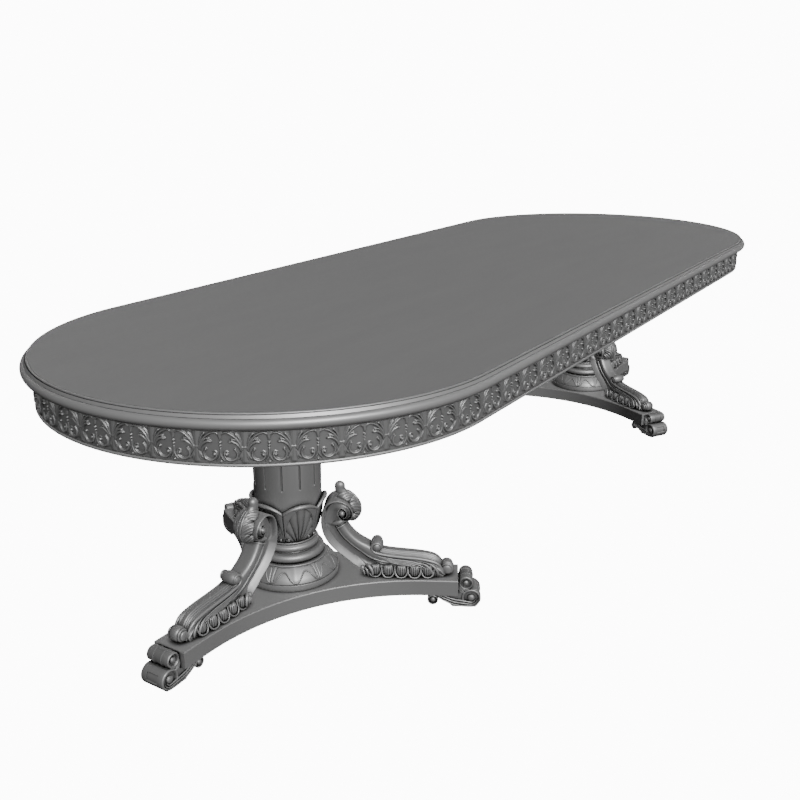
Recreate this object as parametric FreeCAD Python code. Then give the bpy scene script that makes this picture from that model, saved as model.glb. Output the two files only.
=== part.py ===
import FreeCAD, Part
import math
import os

os.makedirs("parts", exist_ok=True)

# All lengths are in millimetres and all angles in degrees.

# Whole table
table_height = 760.0
end_centre = 1050.0
field_radius = 600.0
pedestal_setback = 618.0

# Clearances
glue_gap = 0.2
round_fit = 0.3
dowel_fit = 0.2
screw_fit = 0.25
end_room = 1.0

# Top panel
panel_thickness = 24.0
panel_edge_round = 3.0

# Edge moulding, measured outward from the flat field and down from the top
nose_reach = 20.0
nose_drop = 21.0
nose_radius = 5.0
quirk_depth = 3.0
quirk_width = 4.0
ovolo_bulge = 2.6
moulding_shelf = 14.0
cove_width = 6.0
cove_rise = 7.0

# Frieze
frieze_inset = 8.0
rail_thickness = 24.0
rail_height = 74.0
carving_back = 2.0
carving_relief = 3.0
motifs_per_end = 19
motifs_per_side = 21
bead_height = 8.0
bead_reach = 3.0
bead_width = 23.0

# Parts of one carved motif, measured from its middle line and the rail's foot
arch_centre_out = 10.4
arch_centre_up = 37.0
arch_radius = 31.0
arch_band = 4.5
arch_turn_from = -10.0
arch_turn_to = 105.0
scroll_centre_out = 20.7
scroll_centre_up = 21.0
scroll_radius = 13.0
scroll_band = 3.4
scroll_turn_from = 130.0
scroll_turn_to = 410.0
eye_out = 13.0
eye_radius = 3.4
tongue_half_width = 8.0
tongue_length = 18.0
stem_top_up = 32.0
stem_foot_up = 6.0
stem_half_width = 7.5
strap_width = 9.0
strap_margin = 6.0
tie_width = 12.0
tie_height = 6.0

# Bearers, glue blocks and top blocks under the panel
bearer_end_room = 116.0
bearer_width = 70.0
bearer_height = 40.0
bearer_offset = 140.0
bearer_screw_margin = 70.0
glue_block_length = 90.0
glue_block_leg = 40.0
glue_blocks_per_side = 6
glue_block_pitch = 340.0
block_size = 420.0
block_thickness = 30.0
block_screw_offset = 150.0

# Turned pedestal, from the platform upward
platform_lift = 40.5
platform_thickness = 45.5
disc_radius = 132.0
disc_height = 18.0
ring_foot_radius = 130.0
ring_neck_radius = 100.0
ring_height = 37.0
ring_fillet_height = 6.0
ring_fillet_radius = 98.0
ring_leaf_count = 12
ring_scallop_radius = 15.0
lower_torus_radius = 94.0
lower_torus_height = 24.5
upper_torus_radius = 80.0
upper_torus_height = 22.5
torus_waist = 9.0
collar_radius = 72.5
collar_height = 6.0
cup_foot_radius = 68.0
cup_waist_radius = 83.0
cup_waist_up = 33.0
cup_seat_up = 88.0
cup_seat_radius = 98.0
cup_lip_height = 30.0
cup_lip_reach = 6.0
cup_leaf_count = 6
cup_valley_radius = 6.0
cup_notch_radius = 13.0
shaft_radius = 92.0
groove_count = 12
groove_radius = 2.6
groove_start_up = 72.0
groove_stop_down = 20.0
spigot_radius = 40.0
spigot_length = 14.0
spigot_room = 2.0

# Platform arms
arm_reach = 465.0
arm_end_width = 100.6
waist_radius = 152.0
outer_arm_turn = 180.0

# Scroll brackets, out from the column axis and up from the platform
bracket_half = 30.0
bracket_start = (206.0, 0.0)
bracket_back = ((204.0, 14.0), (172.0, 41.0), (128.0, 79.0), (100.0, 121.0), (92.0, 165.0), (102.0, 206.0))
volute_top = ((139.0, 227.0), (171.0, 206.0))
volute_front = ((178.0, 188.0), (166.0, 171.0))
throat = (158.0, 160.0)
body_front = ((164.0, 142.0), (175.0, 122.0), (195.0, 104.0))
arm_crest = ((258.0, 70.0), (312.0, 66.0), (362.0, 62.0), (392.0, 55.0), (420.0, 26.0))
pocket_start = (206.0, 34.0)
pocket_back = ((178.0, 52.0), (142.0, 84.0), (115.0, 124.0), (107.0, 165.0), (114.0, 190.0))
pocket_front = ((128.0, 196.0), (133.0, 165.0), (150.0, 134.0), (175.0, 106.0), (222.0, 74.0))
pocket_end = ((300.0, 46.0), (400.0, 36.0), (208.0, 36.0))
pocket_depth = 5.0
volute_out = 148.0
volute_up = 187.0
volute_eye_radius = 10.0
volute_hollow_radius = 21.0
volute_hollow_depth = 6.0
leaf_half = 20.0
leaf_start = (132.0, 228.0)
leaf_back = ((155.0, 245.0), (178.0, 238.0), (192.0, 218.0), (196.0, 198.0), (190.0, 176.0), (176.0, 156.0))
leaf_root = ((160.0, 168.0), (150.0, 190.0))
leaf_tip_out = 140.0
leaf_tip_up = 257.0
leaf_tip_radius = 13.0
leaf_neck_radius = 9.0
barrel_out = 241.0
barrel_up = 84.0
barrel_radius = 16.0
barrel_half = 25.0
tongue_half = 31.0
tongue_crest = ((256.0, 73.0), (312.0, 69.0), (362.0, 66.0), (392.0, 58.0), (424.0, 22.0))
tongue_end = ((424.0, 4.0), (408.0, 4.0))
tongue_foot = ((394.0, 32.0), (362.0, 44.0), (312.0, 50.0), (250.0, 56.0))
knob_out = 433.0
knob_up = 20.5
knob_radius = 20.0
knob_half = 22.0
lobe_count = 5
lobe_first_out = 242.0
lobe_pitch = 34.0
lobe_radius = 17.0
lobe_height = 31.0
lobe_side = 27.0
lobe_taper = 1.6
lobe_core_start = 206.0
lobe_core_stop = 420.0
lobe_core_half = 30.0

# Scroll feet, out from the arm's end face and up from the floor
foot_half = 36.0
sole_half = 34.0
upper_volute_out = 21.0
upper_volute_up = 72.0
upper_volute_radius = 19.5
lower_volute_out = 39.0
lower_volute_up = 33.0
lower_volute_radius = 22.0
foot_eye_radius = 8.0
foot_eye_sink = 4.0
foot_hollow_radius = 13.0
foot_hollow_depth = 4.0
sole_start = -11.0
sole_stop = 50.0
tail_end = -62.0
curl_in = 69.0
curl_up = 18.0
curl_radius = 15.0
curl_half = 30.0
band_offset = 13.0
band_width = 2.0
band_depth = 1.2
panel_cut_width = 34.0
panel_cut_height = 18.0
panel_cut_depth = 1.5

# Fastenings
dowel_radius = 5.0
dowel_length = 40.0
rail_dowel_margin = 18.0
foot_dowel_in = 16.0
foot_dowel_side = 16.0
bolt_radius = 8.0
bolt_hole_fit = 1.0
bolt_head_flats = 24.0
bolt_head_height = 10.0
bolt_end = 5.0
nut_height = 13.0
thread_fit = 0.2
washer_radius = 20.0
washer_thickness = 3.0
recess_radius = 24.0
recess_depth = 16.0
wood_screw_radius = 3.0
wood_screw_length = 50.0
wood_screw_head = 6.0
bracket_screw_radius = 4.0
bracket_screw_length = 76.0
bracket_screw_head = 8.0
bracket_screw_first_out = 270.0
bracket_screw_pitch = 100.0

# Places and levels that follow from the sizes above
pedestal_place = end_centre + field_radius - pedestal_setback
panel_foot = table_height - panel_thickness
rail_top = panel_foot - moulding_shelf
rail_foot = rail_top - rail_height
bead_foot = rail_foot - bead_height
bearer_foot = panel_foot - bearer_height
block_foot = bearer_foot - block_thickness
platform_top = platform_lift + platform_thickness
disc_top = platform_top + disc_height
ring_top = disc_top + ring_height + ring_fillet_height
turning_top = ring_top + lower_torus_height + upper_torus_height + collar_height
shaft_seat = turning_top + cup_seat_up
cup_top = shaft_seat + cup_lip_height

# Radii that follow from the sizes above
frieze_face = field_radius - frieze_inset
rail_face = frieze_face - carving_back - glue_gap
rail_back = rail_face - rail_thickness
bearer_half_length = rail_back - bearer_end_room
bearer_screw_side = bearer_half_length - bearer_screw_margin
bolt_hole = bolt_radius + bolt_hole_fit

# Arm directions of the left pedestal; the right one is turned half round
arm_names = ("outer", "front", "back")
other_names = ("outer", "back", "front")
arm_turns = (outer_arm_turn, outer_arm_turn + 120.0, outer_arm_turn - 120.0)

upward = FreeCAD.Vector(0, 0, 1)
across = FreeCAD.Vector(0, 1, 0)
middle = FreeCAD.Vector(0, 0, 0)


def point(out, up):
    return FreeCAD.Vector(out, 0, up)


def edge_through(points):
    # two points make a line, three an arc and more a smooth curve
    if len(points) == 2:
        return Part.LineSegment(points[0], points[1]).toShape()
    if len(points) == 3:
        return Part.Arc(points[0], points[1], points[2]).toShape()
    curve = Part.BSplineCurve()
    curve.interpolate(points)
    return curve.toShape()


def outline_face(start, steps):
    # each step lists the points that follow the last one, up to its own end
    edges = []
    here = start
    for step in steps:
        pairs = [here] + list(step)
        edges.append(edge_through([point(*pair) for pair in pairs]))
        here = step[-1]
    edges.append(edge_through([point(*here), point(*start)]))
    return Part.Face(Part.Wire(edges))


def slab(start, steps, half_width):
    # an upright outline given an even width across the arm
    face = outline_face(start, steps)
    solid = face.extrude(across * (2 * half_width))
    solid.translate(across * -half_width)
    return solid


def turned(start, steps):
    return outline_face(start, steps).revolve(middle, upward, 360)


def upright_rod(radius, foot, top, out=0.0, side=0.0):
    base = FreeCAD.Vector(out, side, foot)
    return Part.makeCylinder(radius, top - foot, base)


def cross_rod(out, up, radius, side_from, side_to):
    base = FreeCAD.Vector(out, side_from, up)
    return Part.makeCylinder(radius, side_to - side_from, base, across)


def long_rod(start, side, up, radius, length):
    base = FreeCAD.Vector(start, side, up)
    return Part.makeCylinder(radius, length, base, FreeCAD.Vector(1, 0, 0))


def box(x_from, x_to, y_from, y_to, z_from, z_to):
    corner = FreeCAD.Vector(x_from, y_from, z_from)
    return Part.makeBox(x_to - x_from, y_to - y_from, z_to - z_from, corner)


def turned_about(shape, angle):
    copy = shape.copy()
    copy.rotate(middle, upward, angle)
    return copy


def moved(shape, x, y, z):
    copy = shape.copy()
    copy.translate(FreeCAD.Vector(x, y, z))
    return copy


def joined(shapes):
    return shapes[0].multiFuse(shapes[1:]).removeSplitter()


def less(shape, cutters):
    return shape.cut(cutters)


def save(name, shape):
    shape.exportStep("parts/" + name + ".step")


# Round ends and straight sides of the top
def end_length(profile, right):
    # sweep a profile half round the centre of one end
    copy = turned_about(profile, -90)
    solid = copy.revolve(middle, upward, 180)
    if right:
        return moved(solid, end_centre, 0, 0)
    return moved(turned_about(solid, 180), -end_centre, 0, 0)


def side_length(profile, front):
    copy = turned_about(profile, -90)
    solid = copy.extrude(FreeCAD.Vector(2 * end_centre, 0, 0))
    solid.translate(FreeCAD.Vector(-end_centre, 0, 0))
    if front:
        return solid
    return turned_about(solid, 180)


def stadium_face(radius, up):
    a = FreeCAD.Vector(-end_centre, -radius, up)
    b = FreeCAD.Vector(end_centre, -radius, up)
    c = FreeCAD.Vector(end_centre + radius, 0, up)
    d = FreeCAD.Vector(end_centre, radius, up)
    e = FreeCAD.Vector(-end_centre, radius, up)
    f = FreeCAD.Vector(-end_centre - radius, 0, up)
    edges = [edge_through([a, b]), edge_through([b, c, d]), edge_through([d, e]), edge_through([e, f, a])]
    return Part.Face(Part.Wire(edges))


def bearer_places():
    places = []
    for side in (-1, 1):
        for shift in (-1, 1):
            places.append(side * pedestal_place + shift * bearer_offset)
    places.append(0.0)
    return sorted(places)


def bearer_screw_sides():
    return (-bearer_screw_side, 0.0, bearer_screw_side)


def screw(radius, length, head_radius, foot, gap=0.0):
    # countersunk screw pointing up, with its head flush at the foot
    head_height = head_radius - radius
    head = Part.makeCone(head_radius + gap, radius + gap, head_height, point(0, foot))
    shank = upright_rod(radius + gap, foot, foot + length + gap)
    return joined([head, shank])


def bearer_screw_points():
    return [(x, y) for x in bearer_places() for y in bearer_screw_sides()]


def block_screw_points():
    points = []
    for place in (-pedestal_place, pedestal_place):
        for x in (-bearer_offset, bearer_offset):
            for y in (-block_screw_offset, block_screw_offset):
                points.append((place + x, y))
    return points


def make_top_panel():
    solid = stadium_face(field_radius, panel_foot).extrude(upward * panel_thickness)
    rim = [e for e in solid.Edges if e.BoundBox.ZMin > table_height - 0.01]
    solid = solid.makeFillet(panel_edge_round, rim)
    pilot = screw(wood_screw_radius, wood_screw_length, wood_screw_head, bearer_foot, screw_fit)
    return less(solid, [moved(pilot, x, y, 0) for x, y in bearer_screw_points()])


def moulding_profile():
    inner = field_radius + round_fit
    quirk_up = table_height - quirk_depth
    quirk_out = inner + quirk_width
    nose_up = table_height - nose_drop
    nose_in = field_radius + nose_reach - nose_radius
    nose_top = nose_up + nose_radius
    nose_foot = nose_up - nose_radius
    ovolo_out = (quirk_out + nose_in) / 2 + ovolo_bulge
    ovolo_up = (quirk_up + nose_top) / 2 + ovolo_bulge
    cove_out = frieze_face + carving_relief + cove_width
    cove_up = rail_top + cove_rise
    cove_in = frieze_face + carving_relief
    steps = [
        [(rail_back, panel_foot)],
        [(inner, panel_foot)],
        [(inner, quirk_up)],
        [(quirk_out, quirk_up)],
        [(ovolo_out, ovolo_up), (nose_in, nose_top)],
        [(nose_in + nose_radius, nose_up), (nose_in, nose_foot)],
        [(cove_out, cove_up)],
        [(cove_in + cove_width * 0.3, rail_top + cove_rise * 0.7), (cove_in, rail_top)],
    ]
    return outline_face((rail_back, rail_top), steps)


def rail_profile():
    steps = [[(rail_face, rail_foot)], [(rail_face, rail_top)], [(rail_back, rail_top)]]
    return outline_face((rail_back, rail_foot), steps)


def bead_profile():
    nose = frieze_face + bead_reach
    nose_in = nose - bead_height / 2
    back = nose - bead_width
    steps = [
        [(nose_in, bead_foot)],
        [(nose, bead_foot + bead_height / 2), (nose_in, rail_foot)],
        [(back, rail_foot)],
    ]
    return outline_face((back, bead_foot), steps)


def rail_dowel_levels():
    return (rail_foot + rail_dowel_margin, rail_top - rail_dowel_margin)


def rail_dowels(radius, start_room):
    # one rod across each joint between a side rail and an end rail
    rods = []
    side = rail_face - rail_thickness / 2
    length = dowel_length + start_room
    for level in rail_dowel_levels():
        for y in (-side, side):
            rods.append(long_rod(end_centre - dowel_length / 2 - start_room, y, level, radius, length))
            rods.append(long_rod(-end_centre - dowel_length / 2, y, level, radius, length))
    return rods


# Carved frieze tiles
def on_circle(out, up, radius, angle):
    turn = math.radians(angle)
    return (out + radius * math.cos(turn), up + radius * math.sin(turn))


def flat_ring(out, up, radius, band, angle_from, angle_to):
    # part of a flat ring between two angles
    half_way = (angle_from + angle_to) / 2
    large = radius + band / 2
    small = radius - band / 2
    steps = [
        [on_circle(out, up, large, half_way), on_circle(out, up, large, angle_to)],
        [on_circle(out, up, small, angle_to)],
        [on_circle(out, up, small, half_way), on_circle(out, up, small, angle_from)],
    ]
    return outline_face(on_circle(out, up, large, angle_from), steps)


def flat_disc(out, up, radius):
    circle = Part.makeCircle(radius, point(out, up), across)
    return Part.Face(Part.Wire([circle]))


def flat_plate(corners):
    return outline_face(corners[0], [[corner] for corner in corners[1:]])


def motif_faces(pitch, strap_edge):
    # flat shapes of one motif and of its half straps, all in one upright plane
    foot = rail_foot
    top = rail_top - strap_margin
    low = rail_foot + strap_margin
    strap_in = (pitch - strap_width) / 2
    tie_in = (pitch - tie_width) / 2
    tie_up = (low + top) / 2
    faces = []
    for hand in (-1, 1):
        arch = flat_ring(
            arch_centre_out, foot + arch_centre_up, arch_radius, arch_band, arch_turn_from, arch_turn_to)
        scroll = flat_ring(
            scroll_centre_out, foot + scroll_centre_up, scroll_radius, scroll_band,
            scroll_turn_from, scroll_turn_to)
        eye = flat_disc(eye_out, foot + scroll_centre_up, eye_radius)
        strap = flat_plate([(strap_in, low), (strap_edge, low), (strap_edge, top), (strap_in, top)])
        tie = flat_plate([
            (tie_in, tie_up - tie_height / 2), (strap_edge, tie_up - tie_height / 2),
            (strap_edge, tie_up + tie_height / 2), (tie_in, tie_up + tie_height / 2)])
        for face in (arch, scroll, eye, strap, tie):
            if hand < 0:
                face = face.mirror(middle, FreeCAD.Vector(1, 0, 0))
            faces.append(face)
    faces.append(flat_plate([
        (-tongue_half_width, top), (0, top - tongue_length), (tongue_half_width, top)]))
    faces.append(flat_plate([
        (-stem_half_width, foot + stem_foot_up), (stem_half_width, foot + stem_foot_up),
        (0, foot + stem_top_up)]))
    return faces


def motif_prisms(pitch, strap_edge, start, reach):
    # the motif's shapes pushed toward the front, from one depth to another
    prisms = []
    for face in motif_faces(pitch, strap_edge):
        prism = face.extrude(across * (start - reach))
        prisms.append(moved(prism, 0, -start, 0))
    return prisms


def side_tile(pitch):
    back = frieze_face - carving_back
    plate = box(-pitch / 2, pitch / 2, -frieze_face, -back, rail_foot, rail_top)
    relief = motif_prisms(pitch, pitch / 2, back, frieze_face + carving_relief)
    return joined([plate] + relief)


def end_tile(angle):
    # the same motif wrapped on the round end, in front of the arc's centre
    back = frieze_face - carving_back
    face = frieze_face + carving_relief
    half = math.radians(angle / 2)
    pitch = 2 * frieze_face * math.sin(half)
    plate_face = outline_face((back, rail_foot), [
        [(frieze_face, rail_foot)], [(frieze_face, rail_top)], [(back, rail_top)]])
    plate = turned_about(plate_face, -90 - angle / 2).revolve(middle, upward, angle)
    band_face = outline_face((back, rail_foot), [
        [(face, rail_foot)], [(face, rail_top)], [(back, rail_top)]])
    band = turned_about(band_face, -90 - angle / 2).revolve(middle, upward, angle)
    start = back * math.cos(half) - carving_relief
    prisms = motif_prisms(pitch, pitch / 2 + carving_relief, start, face + carving_relief)
    relief = [prism.common(band) for prism in prisms]
    return joined([plate] + relief)


def side_carving(front):
    pitch = 2 * end_centre / motifs_per_side
    tile = side_tile(pitch)
    tiles = []
    for index in range(motifs_per_side):
        tiles.append(moved(tile, -end_centre + (index + 0.5) * pitch, 0, 0))
    group = Part.makeCompound(tiles)
    if front:
        return group
    return turned_about(group, 180)


def end_carving(right):
    angle = 180.0 / motifs_per_end
    tile = end_tile(angle)
    tiles = []
    for index in range(motifs_per_end):
        tiles.append(turned_about(tile, (index + 0.5) * angle))
    group = moved(Part.makeCompound(tiles), end_centre, 0, 0)
    if right:
        return group
    return turned_about(group, 180)


# Pieces under the top
def make_glue_blocks():
    blocks = []
    face = outline_face((rail_back, panel_foot), [
        [(rail_back - glue_block_leg, panel_foot)], [(rail_back, panel_foot - glue_block_leg)]])
    wedge = turned_about(face, -90).extrude(FreeCAD.Vector(glue_block_length, 0, 0))
    first = -glue_block_pitch * (glue_blocks_per_side - 1) / 2 - glue_block_length / 2
    for index in range(glue_blocks_per_side):
        block = moved(wedge, first + index * glue_block_pitch, 0, 0)
        blocks.append(block)
        blocks.append(turned_about(block, 180))
    return Part.makeCompound(blocks)


def make_bearer(place):
    half = bearer_width / 2
    reach = bearer_half_length
    solid = box(place - half, place + half, -reach, reach, bearer_foot, panel_foot)
    hole = screw(wood_screw_radius, wood_screw_length, wood_screw_head, bearer_foot, screw_fit)
    holes = [moved(hole, place, y, 0) for y in bearer_screw_sides()]
    blind = screw(wood_screw_radius, wood_screw_length, wood_screw_head, block_foot, screw_fit)
    for x, y in block_screw_points():
        if abs(x - place) < half:
            holes.append(moved(blind, x, y, 0))
    return less(solid, holes)


def make_top_block(place):
    half = block_size / 2
    solid = box(-half, half, -half, half, block_foot, bearer_foot)
    holes = [
        upright_rod(bolt_hole, block_foot, bearer_foot),
        upright_rod(spigot_radius + round_fit, block_foot, block_foot + spigot_length + spigot_room),
    ]
    hole = screw(wood_screw_radius, wood_screw_length, wood_screw_head, block_foot, screw_fit)
    for x in (-bearer_offset, bearer_offset):
        for y in (-block_screw_offset, block_screw_offset):
            holes.append(moved(hole, x, y, 0))
    return moved(less(solid, holes), place, 0, 0)


# Turned pieces of a pedestal, each on the origin's axis
def spigot(foot, down):
    if down:
        return upright_rod(spigot_radius, foot - spigot_length, foot)
    return upright_rod(spigot_radius, foot, foot + spigot_length)


def socket(mouth):
    # hole open at the top for the spigot of the piece above
    return upright_rod(spigot_radius + round_fit, mouth - spigot_length - spigot_room, mouth)


def make_shaft():
    solid = upright_rod(shaft_radius, shaft_seat, block_foot)
    solid = joined([solid, spigot(shaft_seat, True), spigot(block_foot, False)])
    start = shaft_seat + groove_start_up
    groove = joined([
        upright_rod(groove_radius, start, block_foot - groove_stop_down, shaft_radius),
        Part.makeSphere(groove_radius, point(shaft_radius, start))])
    cuts = [turned_about(groove, index * 360.0 / groove_count) for index in range(groove_count)]
    cuts.append(upright_rod(bolt_hole, shaft_seat - spigot_length, block_foot + spigot_length))
    return less(solid, cuts)


def make_cup():
    waist_up = turning_top + cup_waist_up
    lip_in = shaft_radius + round_fit
    lip_out = cup_seat_radius + cup_lip_reach
    steps = [
        [(cup_foot_radius, turning_top)],
        [(cup_waist_radius, waist_up), (cup_seat_radius, shaft_seat)],
        [(lip_out, shaft_seat + cup_lip_height * 0.7)],
        [(lip_out - cup_lip_reach * 0.4, cup_top), (lip_in, cup_top - cup_lip_height * 0.2)],
        [(lip_in, shaft_seat)],
        [(0, shaft_seat)],
    ]
    solid = joined([turned((0, turning_top), steps), spigot(turning_top, True)])
    valley_foot = point(cup_foot_radius + cup_valley_radius / 2, turning_top)
    lean = point(lip_out + cup_valley_radius / 2, cup_top) - valley_foot
    valley = Part.makeCylinder(cup_valley_radius, lean.Length, valley_foot, lean)
    notch = Part.makeSphere(cup_notch_radius, point(lip_out, cup_top))
    cuts = []
    for index in range(cup_leaf_count):
        angle = (index + 0.5) * 360.0 / cup_leaf_count
        cuts.append(turned_about(valley, angle))
        cuts.append(turned_about(notch, angle))
    solid = less(solid, [socket(shaft_seat)])
    solid = less(solid, [upright_rod(bolt_hole, turning_top - spigot_length, shaft_seat)])
    return less(solid, cuts)


def make_turning():
    lower_top = ring_top + lower_torus_height
    upper_top = lower_top + upper_torus_height
    lower_in = lower_torus_radius - torus_waist
    upper_in = upper_torus_radius - torus_waist
    steps = [
        [(lower_in, ring_top)],
        [(lower_torus_radius, ring_top + lower_torus_height * 0.4), (upper_torus_radius - 2, lower_top)],
        [(upper_in + 2, lower_top)],
        [(upper_torus_radius, lower_top + upper_torus_height * 0.42), (upper_in, upper_top)],
        [(collar_radius, upper_top)],
        [(collar_radius, turning_top)],
        [(0, turning_top)],
    ]
    solid = joined([turned((0, ring_top), steps), spigot(ring_top, True)])
    return less(solid, [socket(turning_top), upright_rod(bolt_hole, ring_top - spigot_length, turning_top)])


def make_leaf_ring():
    neck_up = disc_top + ring_height
    rise = ring_height
    run = ring_foot_radius - ring_neck_radius
    steps = [
        [(ring_foot_radius, disc_top)],
        [(ring_foot_radius, disc_top + rise * 0.12), (ring_foot_radius - run * 0.4, disc_top + rise * 0.55),
         (ring_neck_radius, neck_up)],
        [(ring_fillet_radius, neck_up)],
        [(ring_fillet_radius, ring_top)],
        [(0, ring_top)],
    ]
    solid = joined([turned((0, disc_top), steps), spigot(disc_top, True)])
    hollow_out = ring_foot_radius + ring_scallop_radius * 0.8
    hollow = Part.makeSphere(ring_scallop_radius, point(hollow_out, disc_top))
    pitch = 360.0 / ring_leaf_count
    cuts = [turned_about(hollow, index * pitch) for index in range(ring_leaf_count)]
    solid = less(solid, cuts)
    return less(solid, [socket(ring_top), upright_rod(bolt_hole, disc_top - spigot_length, ring_top)])


def make_disc():
    solid = joined([upright_rod(disc_radius, platform_top, disc_top), spigot(platform_top, True)])
    return less(solid, [socket(disc_top), upright_rod(bolt_hole, platform_top - spigot_length, disc_top)])


def make_platform():
    half = arm_end_width / 2
    # the concave sides run into the parallel arm ends without a corner
    hollow_centre = (waist_radius - half) / (1 - math.sin(math.radians(60)))
    tangent_out = hollow_centre * math.cos(math.radians(60))
    edges = []
    for index in range(3):
        turn = arm_turns[0] + index * 120.0
        corners = []
        for out, side in ((tangent_out, -half), (arm_reach, -half), (arm_reach, half), (tangent_out, half)):
            spot = FreeCAD.Vector(out, side, platform_lift)
            corners.append(FreeCAD.Rotation(upward, turn).multVec(spot))
        for first, second in zip(corners, corners[1:]):
            edges.append(edge_through([first, second]))
        waist = FreeCAD.Rotation(upward, turn + 60).multVec(FreeCAD.Vector(waist_radius, 0, platform_lift))
        spot = FreeCAD.Vector(tangent_out, -half, platform_lift)
        edges.append(edge_through([corners[-1], waist, FreeCAD.Rotation(upward, turn + 120).multVec(spot)]))
    solid = Part.Face(Part.Wire(edges)).extrude(upward * platform_thickness)
    cuts = [
        upright_rod(bolt_hole, platform_lift, platform_top),
        upright_rod(recess_radius, platform_lift, platform_lift + recess_depth),
        socket(platform_top),
    ]
    screw_hole = screw(
        bracket_screw_radius, bracket_screw_length, bracket_screw_head, platform_lift, screw_fit)
    for turn in arm_turns:
        for out in bracket_screw_outs():
            cuts.append(turned_about(moved(screw_hole, out, 0, 0), turn))
        for hole in foot_dowels(dowel_radius + dowel_fit, end_room):
            cuts.append(turned_about(hole, turn))
    return less(solid, cuts)


def bracket_screw_outs():
    return (bracket_screw_first_out, bracket_screw_first_out + bracket_screw_pitch)


def foot_dowels(radius, top_room):
    rods = []
    foot = platform_lift - dowel_length / 2
    top = platform_lift + dowel_length / 2 + top_room
    for side in (-foot_dowel_side, foot_dowel_side):
        rods.append(upright_rod(radius, foot, top, arm_reach - foot_dowel_in, side))
    return rods


# Scroll bracket on the arm that points along the first axis
def barrel(out, up, radius, half):
    # a roll across the arm that swells toward its middle
    shoulder = radius * 0.6
    a = FreeCAD.Vector(out, -half, up)
    b = FreeCAD.Vector(out + shoulder, -half, up)
    c = FreeCAD.Vector(out + radius, 0, up)
    d = FreeCAD.Vector(out + shoulder, half, up)
    e = FreeCAD.Vector(out, half, up)
    runs = ([a, b], [b, c, d], [d, e], [e, a])
    wire = Part.Wire([edge_through(run) for run in runs])
    return Part.Face(wire).revolve(a, across, 360)


def single_steps(points):
    # straight runs through the points
    return [[spot] for spot in points]


def bracket_web():
    steps = [
        [bracket_back[0]],
        bracket_back[1:],
        volute_top,
        volute_front,
        [throat],
        body_front + ((barrel_out, barrel_up),),
        [arm_crest[0]],
        arm_crest[1:],
        [(arm_crest[-1][0], 0)],
    ]
    return slab(bracket_start, steps, bracket_half)


def bracket_pocket():
    # the sunk part of one cheek, inside the raised rim
    steps = [pocket_back, [pocket_front[0]], pocket_front[1:]] + single_steps(pocket_end)
    return outline_face(pocket_start, steps).extrude(across * pocket_depth)


def bracket_tongue():
    steps = [[tongue_crest[0]], tongue_crest[1:]] + single_steps(tongue_end) + [tongue_foot]
    return slab((barrel_out, barrel_up), steps, tongue_half)


def bracket_leaf():
    steps = [leaf_back] + single_steps(leaf_root)
    leaf = slab(leaf_start, steps, leaf_half)
    tip = Part.makeSphere(leaf_tip_radius, point(leaf_tip_out, leaf_tip_up))
    neck = upright_rod(leaf_neck_radius, volute_up, leaf_tip_up, leaf_tip_out)
    return [leaf, tip, neck]


def bracket_lobes():
    # a row of rounded lobes along the foot of both cheeks
    solids = [box(lobe_core_start, lobe_core_stop, -lobe_core_half, lobe_core_half, 0, lobe_height)]
    middle_lobe = (lobe_count - 1) / 2
    for index in range(lobe_count):
        out = lobe_first_out + index * lobe_pitch
        side = lobe_side - lobe_taper * (index - middle_lobe) ** 2
        for hand in (-1, 1):
            solids.append(upright_rod(lobe_radius, 0, lobe_height, out, hand * side))
    return solids


def make_bracket():
    web = bracket_web()
    cuts = []
    for hand in (-1, 1):
        pocket = bracket_pocket()
        hollow = cross_rod(volute_out, volute_up, volute_hollow_radius, 0, volute_hollow_depth)
        side = bracket_half - pocket_depth
        ring_side = bracket_half - volute_hollow_depth
        if hand < 0:
            side = -bracket_half
            ring_side = -bracket_half
        cuts.append(moved(pocket, 0, side, 0))
        cuts.append(moved(hollow, 0, ring_side, 0))
    web = less(web, cuts)
    eyes = []
    for hand in (-1, 1):
        spot = FreeCAD.Vector(volute_out, hand * (bracket_half - volute_hollow_depth), volute_up)
        eyes.append(Part.makeSphere(volute_eye_radius, spot))
    rolls = [
        barrel(barrel_out, barrel_up, barrel_radius, barrel_half),
        barrel(knob_out, knob_up, knob_radius, knob_half),
    ]
    solid = joined([web, bracket_tongue()] + bracket_leaf() + bracket_lobes() + eyes + rolls)
    holes = []
    length = bracket_screw_length + end_room
    hole = screw(bracket_screw_radius, length, bracket_screw_head, -platform_thickness, screw_fit)
    for out in bracket_screw_outs():
        holes.append(moved(hole, out, 0, 0))
    return moved(less(solid, holes), 0, 0, platform_top)


# Scroll foot under the end of the arm that points along the first axis
def foot_eyes(out, up):
    solids = []
    for hand in (-1, 1):
        spot = FreeCAD.Vector(out, hand * (foot_half - foot_eye_sink), up)
        solids.append(Part.makeSphere(foot_eye_radius, spot))
    return solids


def foot_hollows(out, up):
    solids = []
    for side in (-foot_half, foot_half - foot_hollow_depth):
        solids.append(cross_rod(out, up, foot_hollow_radius, side, side + foot_hollow_depth))
    return solids


def foot_body():
    front = lower_volute_out + lower_volute_radius
    steps = [
        [(sole_stop, 0)],
        [(front - 4, lower_volute_up * 0.35)],
        [(front, lower_volute_up)],
        [(upper_volute_out, upper_volute_up)],
        [(0, upper_volute_up)],
        [(0, platform_lift)],
        [(tail_end, platform_lift)],
        [(tail_end, platform_lift - 14)],
    ]
    return slab((sole_start, 0), steps, sole_half)


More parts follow.
